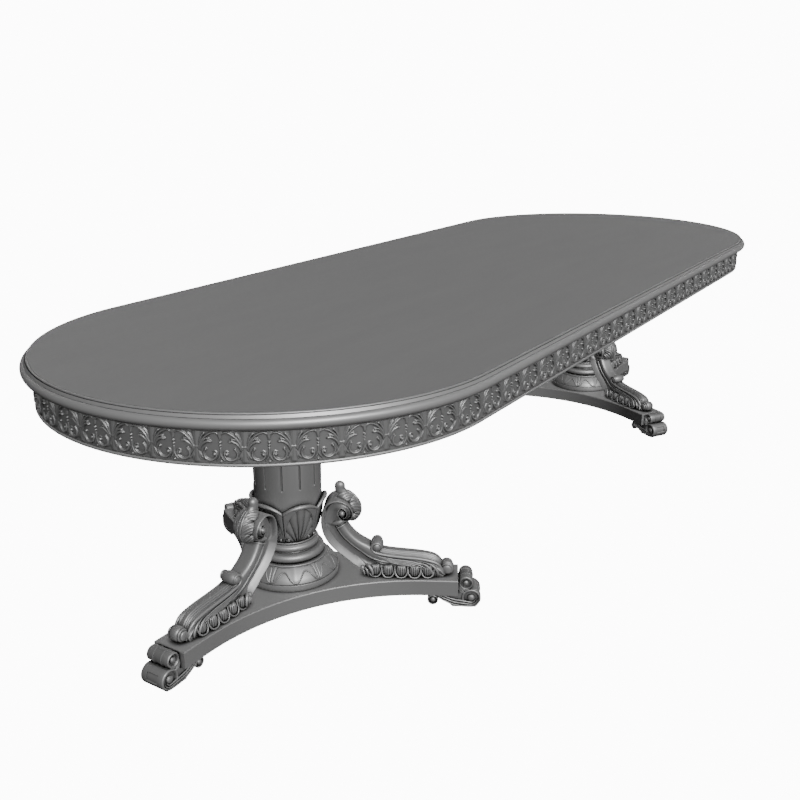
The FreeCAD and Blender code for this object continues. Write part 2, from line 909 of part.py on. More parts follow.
def make_foot():
    rolls = [
        cross_rod(upper_volute_out, upper_volute_up, upper_volute_radius, -foot_half, foot_half),
        cross_rod(lower_volute_out, lower_volute_up, lower_volute_radius, -foot_half, foot_half),
        cross_rod(-curl_in, curl_up, curl_radius, -curl_half, curl_half),
    ]
    cuts = foot_hollows(upper_volute_out, upper_volute_up)
    cuts += foot_hollows(lower_volute_out, lower_volute_up)
    front = lower_volute_out + lower_volute_radius
    cuts.append(box(
        front - panel_cut_depth, front + panel_cut_depth, -panel_cut_width / 2, panel_cut_width / 2,
        lower_volute_up - panel_cut_height / 2, lower_volute_up + panel_cut_height / 2))
    body = foot_body()
    core_radius = upper_volute_radius - band_depth
    core = cross_rod(upper_volute_out, upper_volute_up, core_radius, -foot_half, foot_half)
    for side in (-band_offset, band_offset):
        start = side - band_width / 2
        ring = cross_rod(upper_volute_out, upper_volute_up, upper_volute_radius, start, start + band_width)
        cuts.append(ring.cut([core, body]))
    solid = less(joined([body] + rolls), cuts)
    eyes = foot_eyes(upper_volute_out, upper_volute_up) + foot_eyes(lower_volute_out, lower_volute_up)
    solid = moved(joined([solid] + eyes), arm_reach, 0, 0)
    # the arm fills the space behind its end face and above its underside
    side = foot_half + end_room
    arm = box(0, arm_reach, -side, side, platform_lift, platform_top + end_room)
    return less(solid, [arm] + foot_dowels(dowel_radius + dowel_fit, 0))


# Fastenings
def hexagon(flats, foot, height):
    radius = flats / math.sqrt(3)
    corners = []
    for index in range(7):
        angle = math.radians(60 * index)
        corners.append(FreeCAD.Vector(radius * math.cos(angle), radius * math.sin(angle), foot))
    return Part.Face(Part.makePolygon(corners)).extrude(upward * height)


def washer(foot):
    ring = upright_rod(washer_radius, foot, foot + washer_thickness)
    return less(ring, [upright_rod(bolt_hole, foot, foot + washer_thickness)])


def lower_washer_foot():
    return platform_lift + recess_depth - washer_thickness


def make_bolt():
    head_top = lower_washer_foot()
    head = hexagon(bolt_head_flats, head_top - bolt_head_height, bolt_head_height)
    end = bearer_foot + washer_thickness + nut_height + bolt_end
    return joined([head, upright_rod(bolt_radius, head_top, end)])


def make_nut():
    foot = bearer_foot + washer_thickness
    nut = hexagon(bolt_head_flats, foot, nut_height)
    return less(nut, [upright_rod(bolt_radius + thread_fit, foot, foot + nut_height)])


def at_both_pedestals(shapes):
    copies = []
    for shape in shapes:
        copies.append(moved(shape, -pedestal_place, 0, 0))
        copies.append(moved(turned_about(shape, 180), pedestal_place, 0, 0))
    return copies


def on_all_arms(shapes):
    copies = []
    for turn in arm_turns:
        for shape in shapes:
            copies.append(turned_about(shape, turn))
    return at_both_pedestals(copies)


def make_wood_screws():
    upper = screw(wood_screw_radius, wood_screw_length, wood_screw_head, bearer_foot)
    lower = screw(wood_screw_radius, wood_screw_length, wood_screw_head, block_foot)
    screws = [moved(upper, x, y, 0) for x, y in bearer_screw_points()]
    screws += [moved(lower, x, y, 0) for x, y in block_screw_points()]
    return Part.makeCompound(screws)


def make_bracket_screws():
    one = screw(bracket_screw_radius, bracket_screw_length, bracket_screw_head, platform_lift)
    return Part.makeCompound(on_all_arms([moved(one, out, 0, 0) for out in bracket_screw_outs()]))


def make_dowels():
    return Part.makeCompound(rail_dowels(dowel_radius, 0) + on_all_arms(foot_dowels(dowel_radius, 0)))


# Build every node
save("top_panel", make_top_panel())

rail_holes = rail_dowels(dowel_radius + dowel_fit, end_room)
end_pieces = (("edge_moulding", moulding_profile, []), ("frieze_rail", rail_profile, rail_holes),
              ("frieze_bead", bead_profile, []))
for name, profile, holes in end_pieces:
    lengths = {
        "left_end": end_length(profile(), False),
        "right_end": end_length(profile(), True),
        "front": side_length(profile(), True),
        "back": side_length(profile(), False),
    }
    for place, shape in lengths.items():
        if holes:
            shape = less(shape, holes)
        save(name + "_" + place, shape)

save("frieze_carving_left_end", end_carving(False))
save("frieze_carving_right_end", end_carving(True))
save("frieze_carving_front", side_carving(True))
save("frieze_carving_back", side_carving(False))

save("glue_blocks", make_glue_blocks())
bearer_names = ("left_outer", "left_inner", "middle", "right_inner", "right_outer")
for name, place in zip(bearer_names, bearer_places()):
    save("bearer_" + name, make_bearer(place))

pieces = {
    "column_shaft": make_shaft(),
    "leaf_cup": make_cup(),
    "base_turning": make_turning(),
    "leaf_ring": make_leaf_ring(),
    "plinth_disc": make_disc(),
    "platform": make_platform(),
}
bracket = make_bracket()
foot = make_foot()
for name, shape in pieces.items():
    left, right = at_both_pedestals([shape])
    save("left_" + name, left)
    save("right_" + name, right)
for arm, other, turn in zip(arm_names, other_names, arm_turns):
    for name, shape in (("bracket_", bracket), ("foot_", foot)):
        left, right = at_both_pedestals([turned_about(shape, turn)])
        save("left_" + name + arm, left)
        save("right_" + name + other, right)
save("left_top_block", make_top_block(-pedestal_place))
save("right_top_block", make_top_block(pedestal_place))

save("tie_bolts", Part.makeCompound(at_both_pedestals([make_bolt()])))
save("tie_nuts", Part.makeCompound(at_both_pedestals([make_nut()])))
washers = [washer(lower_washer_foot()), washer(bearer_foot)]
save("tie_washers", Part.makeCompound(at_both_pedestals(washers)))
save("dowels", make_dowels())
save("wood_screws", make_wood_screws())
save("bracket_screws", make_bracket_screws())
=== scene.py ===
import math

import bmesh
import bpy
import numpy as np
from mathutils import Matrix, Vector


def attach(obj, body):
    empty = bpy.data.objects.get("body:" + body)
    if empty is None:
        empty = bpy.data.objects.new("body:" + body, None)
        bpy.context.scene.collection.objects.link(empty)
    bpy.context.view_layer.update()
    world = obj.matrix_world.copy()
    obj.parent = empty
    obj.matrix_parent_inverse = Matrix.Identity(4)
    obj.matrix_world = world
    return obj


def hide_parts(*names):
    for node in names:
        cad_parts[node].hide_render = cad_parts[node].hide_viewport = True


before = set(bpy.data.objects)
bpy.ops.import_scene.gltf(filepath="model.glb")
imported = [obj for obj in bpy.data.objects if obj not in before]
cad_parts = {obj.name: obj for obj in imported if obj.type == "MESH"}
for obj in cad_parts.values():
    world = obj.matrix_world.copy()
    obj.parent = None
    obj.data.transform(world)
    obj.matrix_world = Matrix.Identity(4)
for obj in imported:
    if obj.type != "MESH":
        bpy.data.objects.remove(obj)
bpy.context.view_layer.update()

# Sizes are in millimetres and are turned into metres when a mesh is made.
METRE = 0.001
TABLE_HEIGHT = 760.0
END_CENTRE = 1050.0
PANEL_RADIUS = 600.0
PANEL_FOOT = 736.0
PANEL_ARRIS = 0.5
FRIEZE_FACE = 592.0
CARVING_BACK = 2.0
RAIL_FOOT = 648.0
RAIL_TOP = 722.0
BEAD_FOOT = 640.0
TILES_PER_END = 19
TILES_PER_SIDE = 21
TILE_WIDTH = 100.0
TILE_COLUMNS = 96
TILE_ROWS = 72
MOTIF_SQUEEZE = 0.96

PEDESTAL_PLACE = 1032.0
PLATFORM_FOOT = 40.5
PLATFORM_TOP = 86.0
ARM_TURNS = (180.0, 300.0, 60.0)
ARM_HALF = 50.3
ARM_REACH = 465.0
ARM_ROOT = 379.6
HOLLOW_OUT = 759.2
HOLLOW_RADIUS = 607.2
DISC_TOP = 104.0
RING_TOP = 147.0
RING_LEAVES = 12
TURNING_TOP = 200.0
CUP_TOP = 318.0
CUP_LEAVES = 6
STACK_CORE = 60.0
SHAFT_FOOT = 288.0
SHAFT_TOP = 666.0
SHAFT_RADIUS = 92.0
FLUTES = 12
FLUTE_RADIUS = 2.9
FLUTE_FOOT = 361.0
FLUTE_TOP = 645.0

# The four lengths of the rim: name, whether it is a round end, and its turn about the middle of the table
LENGTHS = (("right_end", True, 0), ("left_end", True, 180), ("front", False, 0), ("back", False, 180))
# The two pedestals: name, place along the table, turn, and the names of the arms
PEDESTALS = (
    ("left_", -PEDESTAL_PLACE, 0, ("outer", "front", "back")),
    ("right_", PEDESTAL_PLACE, 180, ("outer", "back", "front")))

# The camera in metres and degrees, the strength of the white backdrop and of the light from all sides
CAMERA_PLACE = (-2.8884, -1.5589, 1.3811)
CAMERA_TURN = -57.17
CAMERA_LIFT = 18.40
CAMERA_LENS = 43.456
CAMERA_SENSOR = 36.0
BACKDROP = 12.0
AMBIENT = 0.03
FLOOR_REACH = 30.0

# How far the painted crease shade looks for nearby surfaces and how deep the paint's bumps are, in metres
CREASE_SHADE_REACH = 0.016
BUMP_DEPTH = 0.001


# Mesh helpers: a shell is (points, quads, polygons)
def shell(rings):
    # rings of points joined by quads, with a face at each end
    count, width = rings.shape[:2]
    rows = np.arange(count - 1)[:, None] * width
    steps = np.arange(width)[None, :]
    after = (steps + 1) % width
    corners = np.broadcast_arrays(rows + steps, rows + after, rows + width + after, rows + width + steps)
    quads = np.stack(corners, -1).reshape(-1, 4)
    last = (count - 1) * width
    caps = [list(range(width))[::-1], list(range(last, last + width))]
    return rings.reshape(-1, 3), quads, caps


def flipped(points, quads, polygons):
    # the same shell with its faces turned over
    return points, quads[:, ::-1], [polygon[::-1] for polygon in polygons]


def both_sides(shells):
    # the shells and their mirror images on the other cheek of an arm
    return shells + [flipped(points * (1, -1, 1), quads, polygons) for points, quads, polygons in shells]


def merged(shells):
    points, quads, polygons = [], [], []
    base = 0
    for some_points, some_quads, some_polygons in shells:
        points.append(some_points)
        quads.append(some_quads + base)
        polygons += [[corner + base for corner in polygon] for polygon in some_polygons]
        base += len(some_points)
    return np.concatenate(points), np.concatenate(quads), polygons


def turned(points, degrees):
    # points turned about the vertical axis
    angle = math.radians(degrees)
    cosine, sine = math.cos(angle), math.sin(angle)
    return points @ np.array(((cosine, sine, 0), (-sine, cosine, 0), (0, 0, 1)))


def mesh_of(name, points, quads, polygons, sharp, tidy):
    mesh = bpy.data.meshes.new(name)
    loops = np.concatenate([quads.ravel()] + [np.array(polygon) for polygon in polygons]).astype(np.int32)
    starts = list(range(0, 4 * len(quads), 4))
    place = 4 * len(quads)
    for polygon in polygons:
        starts.append(place)
        place += len(polygon)
    mesh.vertices.add(len(points))
    mesh.vertices.foreach_set("co", (points * METRE).astype(np.float32).ravel())
    mesh.loops.add(len(loops))
    mesh.loops.foreach_set("vertex_index", loops)
    mesh.polygons.add(len(starts))
    mesh.polygons.foreach_set("loop_start", np.array(starts, np.int32))
    mesh.update(calc_edges=True)
    mesh.validate()
    if tidy:
        work = bmesh.new()
        work.from_mesh(mesh)
        bmesh.ops.recalc_face_normals(work, faces=work.faces)
        work.to_mesh(mesh)
        work.free()
    mesh.polygons.foreach_set("use_smooth", np.ones(len(mesh.polygons), bool))
    mesh.set_sharp_from_angle(angle=math.radians(sharp))
    return mesh


def piece(name, shells, node, slot, sharp=38.0, tidy=True):
    # edges that turn by more than the sharp angle stay crisp; tidy makes all faces look outwards
    points, quads, polygons = merged(shells)
    thing = bpy.data.objects.new(name, mesh_of(name, points, quads, polygons, sharp, tidy))
    bpy.context.scene.collection.objects.link(thing)
    thing.data.materials.append(materials[slot])
    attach(thing, "root")
    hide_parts(node)
    return thing


# Curves and simple shapes
def smooth_at(points, places):
    # a smooth curve through points that sit at 0, 1, 2 and so on
    points = np.asarray(points, float)
    slopes = np.gradient(points, axis=0)
    places = np.asarray(places, float)
    index = np.clip(np.floor(places).astype(int), 0, len(points) - 2)
    t = (places - index)[:, None]
    start, end = points[index], points[index + 1]
    return (start * (1 + 2 * t) * (1 - t) ** 2 + slopes[index] * t * (1 - t) ** 2
            + end * t * t * (3 - 2 * t) + slopes[index + 1] * t * t * (t - 1))


def smooth(points, count):
    # the same curve with its samples spread evenly along its length
    fine = smooth_at(points, np.linspace(0, len(points) - 1, 12 * len(points)))
    gaps = np.linalg.norm(np.diff(fine, axis=0), axis=1)
    along = np.concatenate([[0.0], np.cumsum(gaps)])
    wanted = np.linspace(0, along[-1], count)
    return np.stack([np.interp(wanted, along, fine[:, axis]) for axis in range(fine.shape[1])], 1)


def arc(centre, radius, start, stop, count):
    angles = np.radians(np.linspace(start, stop, count))
    return np.stack([centre[0] + radius * np.cos(angles), centre[1] + radius * np.sin(angles)], 1)


def headings(path):
    # the unit direction of a path at each of its points
    ahead = np.gradient(path, axis=0)
    return ahead / np.linalg.norm(ahead, axis=1)[:, None]


def right_hand(path):
    # the unit direction to the right of a flat path at each of its points
    ahead = headings(path)
    return np.stack([ahead[:, 1], -ahead[:, 0]], 1)


def dome(far, reach):
    # a round cap, 1 in its middle and 0 from its reach on
    return np.sqrt(np.clip(1 - (far / reach) ** 2, 0, 1))


def ridge(far, width):
    # a soft ridge, 1 in its middle
    return np.exp(-(far / width) ** 2)


def ramp_up(value):
    # a value held between 0 and 1
    return np.clip(value, 0, 1)


def round_rings(reach, height, degrees):
    # rings about the vertical axis
    reach, height, turns = np.broadcast_arrays(reach, height, np.radians(degrees)[None, :])
    return np.stack([reach * np.cos(turns), reach * np.sin(turns), height], -1)


def lathe(profile, sides):
    # profile rows are (radius, height)
    return shell(round_rings(profile[:, :1], profile[:, 1:], np.linspace(0, 360, sides, endpoint=False)))


def cross_lathe(profile, out, up, sides, carve=None):
    # a roll across the arm; profile rows are (sideways, radius)
    degrees = np.linspace(0, 360, sides, endpoint=False)[None, :]
    side = np.repeat(profile[:, :1], sides, 1)
    radius = np.repeat(profile[:, 1:], sides, 1)
    if carve is not None:
        radius = carve(radius, side, degrees)
    turns = np.radians(degrees)
    return shell(np.stack([out + radius * np.cos(turns), side, up + radius * np.sin(turns)], -1))


def ball(centre, radii, rows=14, sides=22):
    lift = np.radians(np.linspace(-89, 89, rows))[:, None]
    turns = np.linspace(0, 2 * math.pi, sides, endpoint=False)[None, :]
    unit = np.stack([
        np.cos(lift) * np.cos(turns), np.cos(lift) * np.sin(turns), np.repeat(np.sin(lift), sides, 1)], -1)
    return shell(unit * radii + np.asarray(centre, float))


def tube(points, radii, count, sides):
    # a round strand along a smooth path, thinner where the radii say
    path = smooth(points, count)
    sizes = np.interp(np.linspace(0, 1, count), np.linspace(0, 1, len(radii)), radii)
    ahead = headings(path)
    angles = np.linspace(0, 2 * math.pi, sides, endpoint=False)
    circle = np.stack([np.cos(angles), np.sin(angles)], 1)
    side = np.cross(ahead[0], (0.31, 0.83, 0.47))
    rings = []
    for spot, way, size in zip(path, ahead, sizes):
        side = side - way * (side @ way)
        side = side / np.linalg.norm(side)
        rings.append(spot + size * circle @ np.stack([side, np.cross(way, side)]))
    return shell(np.array(rings))


def slab(outline, half):
    # a plain block with the same outline on both sides of an arm
    return shell(np.array([np.insert(np.array(outline), 1, side, axis=1) for side in (-half, half)]))


# Materials
def new_material(name):
    material = bpy.data.materials.new(name)
    material.use_nodes = True
    return material, material.node_tree, material.node_tree.nodes["Principled BSDF"]


def feed(tree, node, inputs):
    # gives each named input its value, or a link from another node's output
    for name, value in inputs.items():
        if isinstance(value, bpy.types.NodeSocket):
            tree.links.new(value, node.inputs[name])
        else:
            node.inputs[name].default_value = value


def add_node(tree, kind, inputs, **settings):
    node = tree.nodes.new(kind)
    for name, value in settings.items():
        setattr(node, name, value)
    feed(tree, node, inputs)
    return node


def stretched_places(tree, grain):
    # places on the object, scaled along each axis
    places = add_node(tree, "ShaderNodeTexCoord", {}).outputs["Object"]
    return add_node(tree, "ShaderNodeMapping", {"Vector": places, "Scale": grain}).outputs["Vector"]


def noise(tree, places, scale, detail):
    inputs = {"Vector": places, "Scale": scale, "Detail": detail}
    return add_node(tree, "ShaderNodeTexNoise", inputs).outputs["Fac"]


def colour_ramp(tree, factor, low, high, start=0.0, stop=1.0):
    node = add_node(tree, "ShaderNodeValToRGB", {"Fac": factor})
    for index, position, colour in ((0, start, low), (1, stop, high)):
        node.color_ramp.elements[index].position = position
        node.color_ramp.elements[index].color = (*colour, 1)
    return node.outputs["Color"]


def spread(tree, value, low, high):
    # a value from 0 to 1 spread from low to high
    inputs = {"Value": value, "To Min": low, "To Max": high}
    return add_node(tree, "ShaderNodeMapRange", inputs).outputs["Result"]


def multiplied(tree, first, second):
    inputs = {"Factor": 1.0, "A": first, "B": second}
    node = add_node(tree, "ShaderNodeMix", inputs, data_type="RGBA", blend_type="MULTIPLY")
    return node.outputs["Result"]


def bumped(tree, height, strength):
    inputs = {"Height": height, "Strength": strength, "Distance": BUMP_DEPTH}
    return add_node(tree, "ShaderNodeBump", inputs).outputs["Normal"]


def grey_wood(name, tone, rough, gloss=1.0, coat=0.8, reach=CREASE_SHADE_REACH, grain=(4.0, 4.0, 4.0),
              painted_edge_shading=0.25, bump=0.03):
    # satin paint whose tone drifts a little, with painted highlight on ridges and painted shade in hollows,
    # and painted shade in creases that also dims its gloss and coat
    material, tree, shader = new_material(name)
    places = stretched_places(tree, grain)
    drift = noise(tree, places, 3.0, 5.0)
    fine = noise(tree, places, 60.0, 3.0)
    low = (tone * 0.98, tone * 0.98, tone * 0.982)
    high = (tone * 1.02, tone * 1.02, tone * 1.018)
    paint = colour_ramp(tree, drift, low, high, 0.3, 0.7)
    # painted highlight and shade: pointiness lightens the colour on ridges and darkens it in hollows
    pointed = add_node(tree, "ShaderNodeNewGeometry", {}).outputs["Pointiness"]
    edges = colour_ramp(tree, pointed, [1 - painted_edge_shading] * 3, [1 + painted_edge_shading] * 3, 0.44, 0.56)
    # painted shade: ambient occlusion darkens the colour in creases and between parts
    crease_occlusion = add_node(tree, "ShaderNodeAmbientOcclusion", {"Distance": reach}, samples=6).outputs["AO"]
    inputs = {"Value": crease_occlusion, "From Min": 0.3, "From Max": 0.9}
    painted_crease_shade = add_node(tree, "ShaderNodeMapRange", inputs).outputs["Result"]
    feed(tree, shader, {
        "Base Color": multiplied(tree, multiplied(tree, paint, edges), painted_crease_shade),
        "Roughness": spread(tree, fine, rough - 0.04, rough + 0.04),
        "Normal": bumped(tree, fine, bump),
        "Coat Roughness": 0.5,
    })
    # painted shade on the reflections: gloss and coat are dimmed in creases by the same occlusion
    for socket, amount in (("Specular IOR Level", gloss), ("Coat Weight", coat)):
        shine = add_node(tree, "ShaderNodeMath", {0: painted_crease_shade, 1: amount}, operation="MULTIPLY")
        feed(tree, shader, {socket: shine.outputs["Value"]})
    return material


def bare_wood(name):
    material, tree, shader = new_material(name)
    grain = noise(tree, stretched_places(tree, (2.0, 14.0, 14.0)), 6.0, 8.0)
    feed(tree, shader, {
        "Base Color": colour_ramp(tree, grain, (0.13, 0.105, 0.085), (0.25, 0.21, 0.17), 0.3, 0.75),
        "Roughness": spread(tree, grain, 0.6, 0.8),
        "Normal": bumped(tree, grain, 0.15),
    })
    return material


def plain_steel(name):
    material, tree, shader = new_material(name)
    mottle = noise(tree, stretched_places(tree, (1.0, 1.0, 1.0)), 180.0, 2.0)
    feed(tree, shader, {
        "Base Color": colour_ramp(tree, mottle, (0.42, 0.42, 0.43), (0.58, 0.58, 0.58)),
        "Roughness": spread(tree, mottle, 0.3, 0.45),
        "Metallic": 1.0,
    })
    return material


# one grey paint at four tones: the tones differ as painted light and shade, the moulding painted lighter and
# the frieze and pedestal painted darker than the top
materials = {
    "top_wood": grey_wood("top_paint", 0.0755, 0.7, gloss=0.25, coat=0.0, reach=0.001, grain=(1.0, 6.0, 6.0),
                          painted_edge_shading=0.0, bump=0.015),
    "moulding_wood": grey_wood("moulding_paint", 0.108, 0.48, coat=1.0, reach=0.005, painted_edge_shading=0.0),
    "frieze_wood": grey_wood("frieze_paint", 0.063, 0.5),
    "pedestal_wood": grey_wood("pedestal_paint", 0.064, 0.52),
    "inner_wood": bare_wood("inner_wood"),
    "steel": plain_steel("fastener_steel"),
}
for node_name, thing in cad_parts.items():
    slot = "inner_wood"
    if node_name in ("tie_bolts", "tie_nuts", "tie_washers", "wood_screws", "bracket_screws"):
        slot = "steel"
    elif node_name.startswith("frieze_rail"):
        slot = "frieze_wood"
    thing.data.materials.clear()
    thing.data.materials.append(materials[slot])


# Top: panel, mouldings and bead
def end_rings(profile, stations=97):
    # profile rows are (out from the end's centre or the table's middle line, height)
    angles = np.radians(np.linspace(-90, 90, stations))[:, None]
    radius, height = profile[:, 0][None, :], profile[:, 1][None, :]
    return np.stack([
        END_CENTRE + radius * np.cos(angles), radius * np.sin(angles), np.repeat(height, stations, 0)], -1)


def side_rings(profile):
    places = np.array((-END_CENTRE, END_CENTRE))[:, None]
    radius, height = profile[:, 0][None, :], profile[:, 1][None, :]
    return np.stack([
        np.repeat(places, len(profile), 1), np.repeat(-radius, 2, 0), np.repeat(height, 2, 0)], -1)


def four_lengths(base, profile, slot):
    for place, round_end, angle in LENGTHS:
        points, quads, polygons = shell(end_rings(profile) if round_end else side_rings(profile))
        node = base + "_" + place
        piece(node + "_shape", [(turned(points, angle), quads, polygons)], node, slot)


def stadium(radius, height):
    right = end_rings(np.array(((radius, height),)))[:, 0, :]
    return np.concatenate([right, turned(right, 180)])


def make_panel():
    rings = [stadium(PANEL_RADIUS, PANEL_FOOT)]
    centre = (PANEL_RADIUS - PANEL_ARRIS, TABLE_HEIGHT - PANEL_ARRIS)
    for radius, height in arc(centre, PANEL_ARRIS, 0, 90, 4):
        rings.append(stadium(radius, height))
    # a ring just inside the arris keeps the shading of the flat field even
    rings.append(stadium(PANEL_RADIUS - 4 * PANEL_ARRIS, TABLE_HEIGHT))
    piece("top_panel_shape", [shell(np.array(rings))], "top_panel", "top_wood", 30)


def make_mouldings():
    # out from the panel's edge and up from its top: a small bead, a groove, a sloping band, a fine notch,
    # a round nose and an undercut
    back = -34.2
    panel_foot, rail_top = PANEL_FOOT - TABLE_HEIGHT, RAIL_TOP - TABLE_HEIGHT
    profile = np.concatenate([
        ((back, rail_top), (back, panel_foot), (0.2, panel_foot), (0.2, -0.4)),
        arc((2.1, -2.6), 2.3, 96, -25, 10),
        ((4.5, -7.0), (5.8, -7.0), (6.0, -4.1), (9.4, -10.7), (8.6, -11.6)),
        arc((7.3, -23.4), 12.4, 77, -56, 26),
        ((8.2, -37.6), (6.0, -32.6), (-1.4, -32.6), (-2.0, rail_top), (-4.8, rail_top)),
    ])
    four_lengths("edge_moulding", profile + (PANEL_RADIUS, TABLE_HEIGHT), "moulding_wood")


def make_beads():
    back, nose = FRIEZE_FACE - 20.0, FRIEZE_FACE + 3.4
    radius = (RAIL_FOOT - BEAD_FOOT) / 2
    shoulder, top = nose - radius - 1.0, RAIL_FOOT - 0.1
    profile = np.concatenate([
        ((back, BEAD_FOOT), (shoulder, BEAD_FOOT)),
        arc((nose - radius, BEAD_FOOT + radius), radius, -80, 80, 11),
        ((shoulder, top), (back, top)),
    ])
    four_lengths("frieze_bead", profile, "moulding_wood")


# Carved frieze. Half of one motif: strokes as (points, half widths, heights),
# out from the motif's middle and up from the foot of the rail
STROKES = (
    (((-45, 33), (-42, 43), (-35.5, 54.5), (-26.5, 63.5), (-17, 68.8), (-9, 69.6), (-5, 66.5)),
     (2.0, 2.6, 2.6, 2.0), (3.4, 4.4, 4.6, 3.6)),
    (((-43, 30), (-39.5, 39), (-33, 46), (-26, 49.8), (-20, 49.4)),
     (1.8, 2.6, 3.0, 2.8), (3.0, 4.0, 5.0, 5.2)),
    (((-40, 42), (-35, 50.5), (-29.5, 54.6), (-23.5, 55.2)), (1.5, 2.1, 2.0), (2.8, 3.8, 3.8)),
    (((-43.6, 44), (-41.6, 53), (-37.5, 61.5), (-33, 66.4)), (1.6, 2.4, 2.0), (2.4, 3.4, 3.0)),
    (((-30.4, 32.4), (-33.8, 27), (-35, 21), (-33.2, 14.4), (-28.6, 9.8), (-22, 7.8), (-15.4, 9.4),
      (-10.2, 14.4), (-7.8, 21), (-8.8, 26.4), (-12.4, 28.4), (-16, 26.6)),
     (2.0, 2.2, 2.6, 2.8, 2.6, 2.2, 1.7, 1.2), (4.4, 3.8, 3.8, 4.6, 4.6, 4.0, 2.8, 1.8)),
    (((-46, 28), (-42.5, 21), (-38.5, 14), (-33.5, 9.6)), (2.0, 2.6, 2.0), (2.2, 2.4, 2.0)),
    (((-44.6, 24), (-43.6, 16), (-41.2, 9)), (1.4, 2.0, 1.2), (2.0, 2.6, 1.6)),
    (((0, 34), (0, 26), (-0.6, 20), (-3, 13.6), (-8.2, 6.2)),
     (1.8, 1.6, 1.8, 2.0, 1.4), (2.4, 2.0, 2.2, 2.4, 1.8)),
)
# Round beads of the motif: (out, up, radius, height)
STUDS = (
    (0, 47.3, 2.9, 4.4), (0, 40.2, 2.4, 3.8), (-12.6, 20.8, 3.7, 5.0), (-30.4, 32.0, 2.7, 4.6),
    (-21.0, 49.4, 3.2, 5.0), (0, 4.4, 2.2, 2.6))


def stroke_height(out, up, points, widths, heights):
    samples = 40
    path = smooth(np.array(points) * (1, MOTIF_SQUEEZE), samples)
    share = np.linspace(0, 1, samples)
    width = np.interp(share, np.linspace(0, 1, len(widths)), widths)
    height = np.interp(share, np.linspace(0, 1, len(heights)), heights)
    far = np.hypot(out[..., None] - path[:, 0], up[..., None] - path[:, 1])
    return (height * dome(far, width)).max(-1)


def stud_height(out, up, stud_out, stud_up, radius, height):
    return height * dome(np.hypot(out - stud_out, up - stud_up * MOTIF_SQUEEZE), radius)


def wedge_height(out, up):
    # the wedge that hangs between the two arches
    foot, top = 51, 72
    half = 1.6 + 5.6 * ramp_up((up - foot) / 18)
    inside = ramp_up(1 - np.abs(out) / half)
    return np.where((up > foot) & (up < top), 2.8 * np.minimum(inside * 2.2, 1) ** 0.7, 0)


def divider_height(out, up):
    # the rounded bundle of reeds at the tile's edge, wider towards the top, with a tie round its middle
    from_edge = out + TILE_WIDTH / 2
    half = 7.8 * (1 + 0.2 * ramp_up((up - 46) / 26) ** 1.4)
    reed = ramp_up(from_edge / half)
    bundle = (2.1 + 0.3 * np.abs(np.cos(1.5 * math.pi * reed))) * (1 - reed ** 2) * ramp_up(up / 5)
    tie = 3.2 * dome(up - 35.5, 2.3) * ramp_up(8.2 - from_edge)
    return np.maximum(bundle, tie)


def motif_height():
    # relief of one tile, on the grid of its left half and then mirrored
    half = np.linspace(-TILE_WIDTH / 2, 0, TILE_COLUMNS // 2 + 1)
    out, up = np.meshgrid(half, np.linspace(0, RAIL_TOP - RAIL_FOOT, TILE_ROWS + 1), indexing="ij")
    layers = [stroke_height(out, up, *stroke) for stroke in STROKES]
    layers += [stud_height(out, up, *stud) for stud in STUDS]
    rim = 0.6 * ramp_up((up - 71.5) / 1.5)
    layers += [wedge_height(out, up), divider_height(out, up), rim]
    height = np.maximum.reduce(layers)
    return np.concatenate([height, height[-2::-1]])


def relief_shell(height, first, count, round_end):
    # a run of tiles as one closed shell with a flat back
    run = np.concatenate([height[:-1]] * count + [height[:1]])
    columns, rows = run.shape
    back = np.full((columns, 1), FRIEZE_FACE - CARVING_BACK)
    radius = np.concatenate([back, FRIEZE_FACE + run, back], 1)
    level = np.concatenate([[RAIL_FOOT], np.linspace(RAIL_FOOT, RAIL_TOP, rows), [RAIL_TOP]])
    level = np.broadcast_to(level, radius.shape)
    share = (first + np.arange(columns) / TILE_COLUMNS)[:, None]
    if round_end:
        angle = np.radians(-90 + share * 180.0 / TILES_PER_END)
        grid = np.stack([END_CENTRE + radius * np.cos(angle), radius * np.sin(angle), level], -1)
    else:
        along = np.broadcast_to(-END_CENTRE + share * TILE_WIDTH, radius.shape)
        grid = np.stack([along, -radius, level], -1)
    return flipped(*shell(grid))


def make_carving():
    # each length is made in two pieces, which share its node
    height = motif_height()
    for place, round_end, angle in LENGTHS:
        count = TILES_PER_END if round_end else TILES_PER_SIDE
        middle = count // 2
        node = "frieze_carving_" + place
        for part, first, length in (("_a", 0, middle), ("_b", middle, count - middle)):
            points, quads, polygons = relief_shell(height, first, length, round_end)
            run = (turned(points, angle), quads, polygons)
            piece(node + part, [run], node, "frieze_wood", sharp=180, tidy=False)


# Pedestals
def pedestal_copies(base, shells, sharp):
    points, quads, polygons = merged(shells)
    for side, shift, angle, _ in PEDESTALS:
        moved = turned(points, angle) + (shift, 0, 0)
        piece(side + base + "_shape", [(moved, quads, polygons)], side + base, "pedestal_wood", sharp)


def arm_copies(base, shells, sharp):
    points, quads, polygons = merged(shells)
    for side, shift, angle, arms in PEDESTALS:
        for turn, arm in zip(ARM_TURNS, arms):
            moved = turned(points, turn + angle) + (shift, 0, 0)
            node = side + base + "_" + arm
            piece(node + "_shape", [(moved, quads, polygons)], node, "pedestal_wood", sharp)


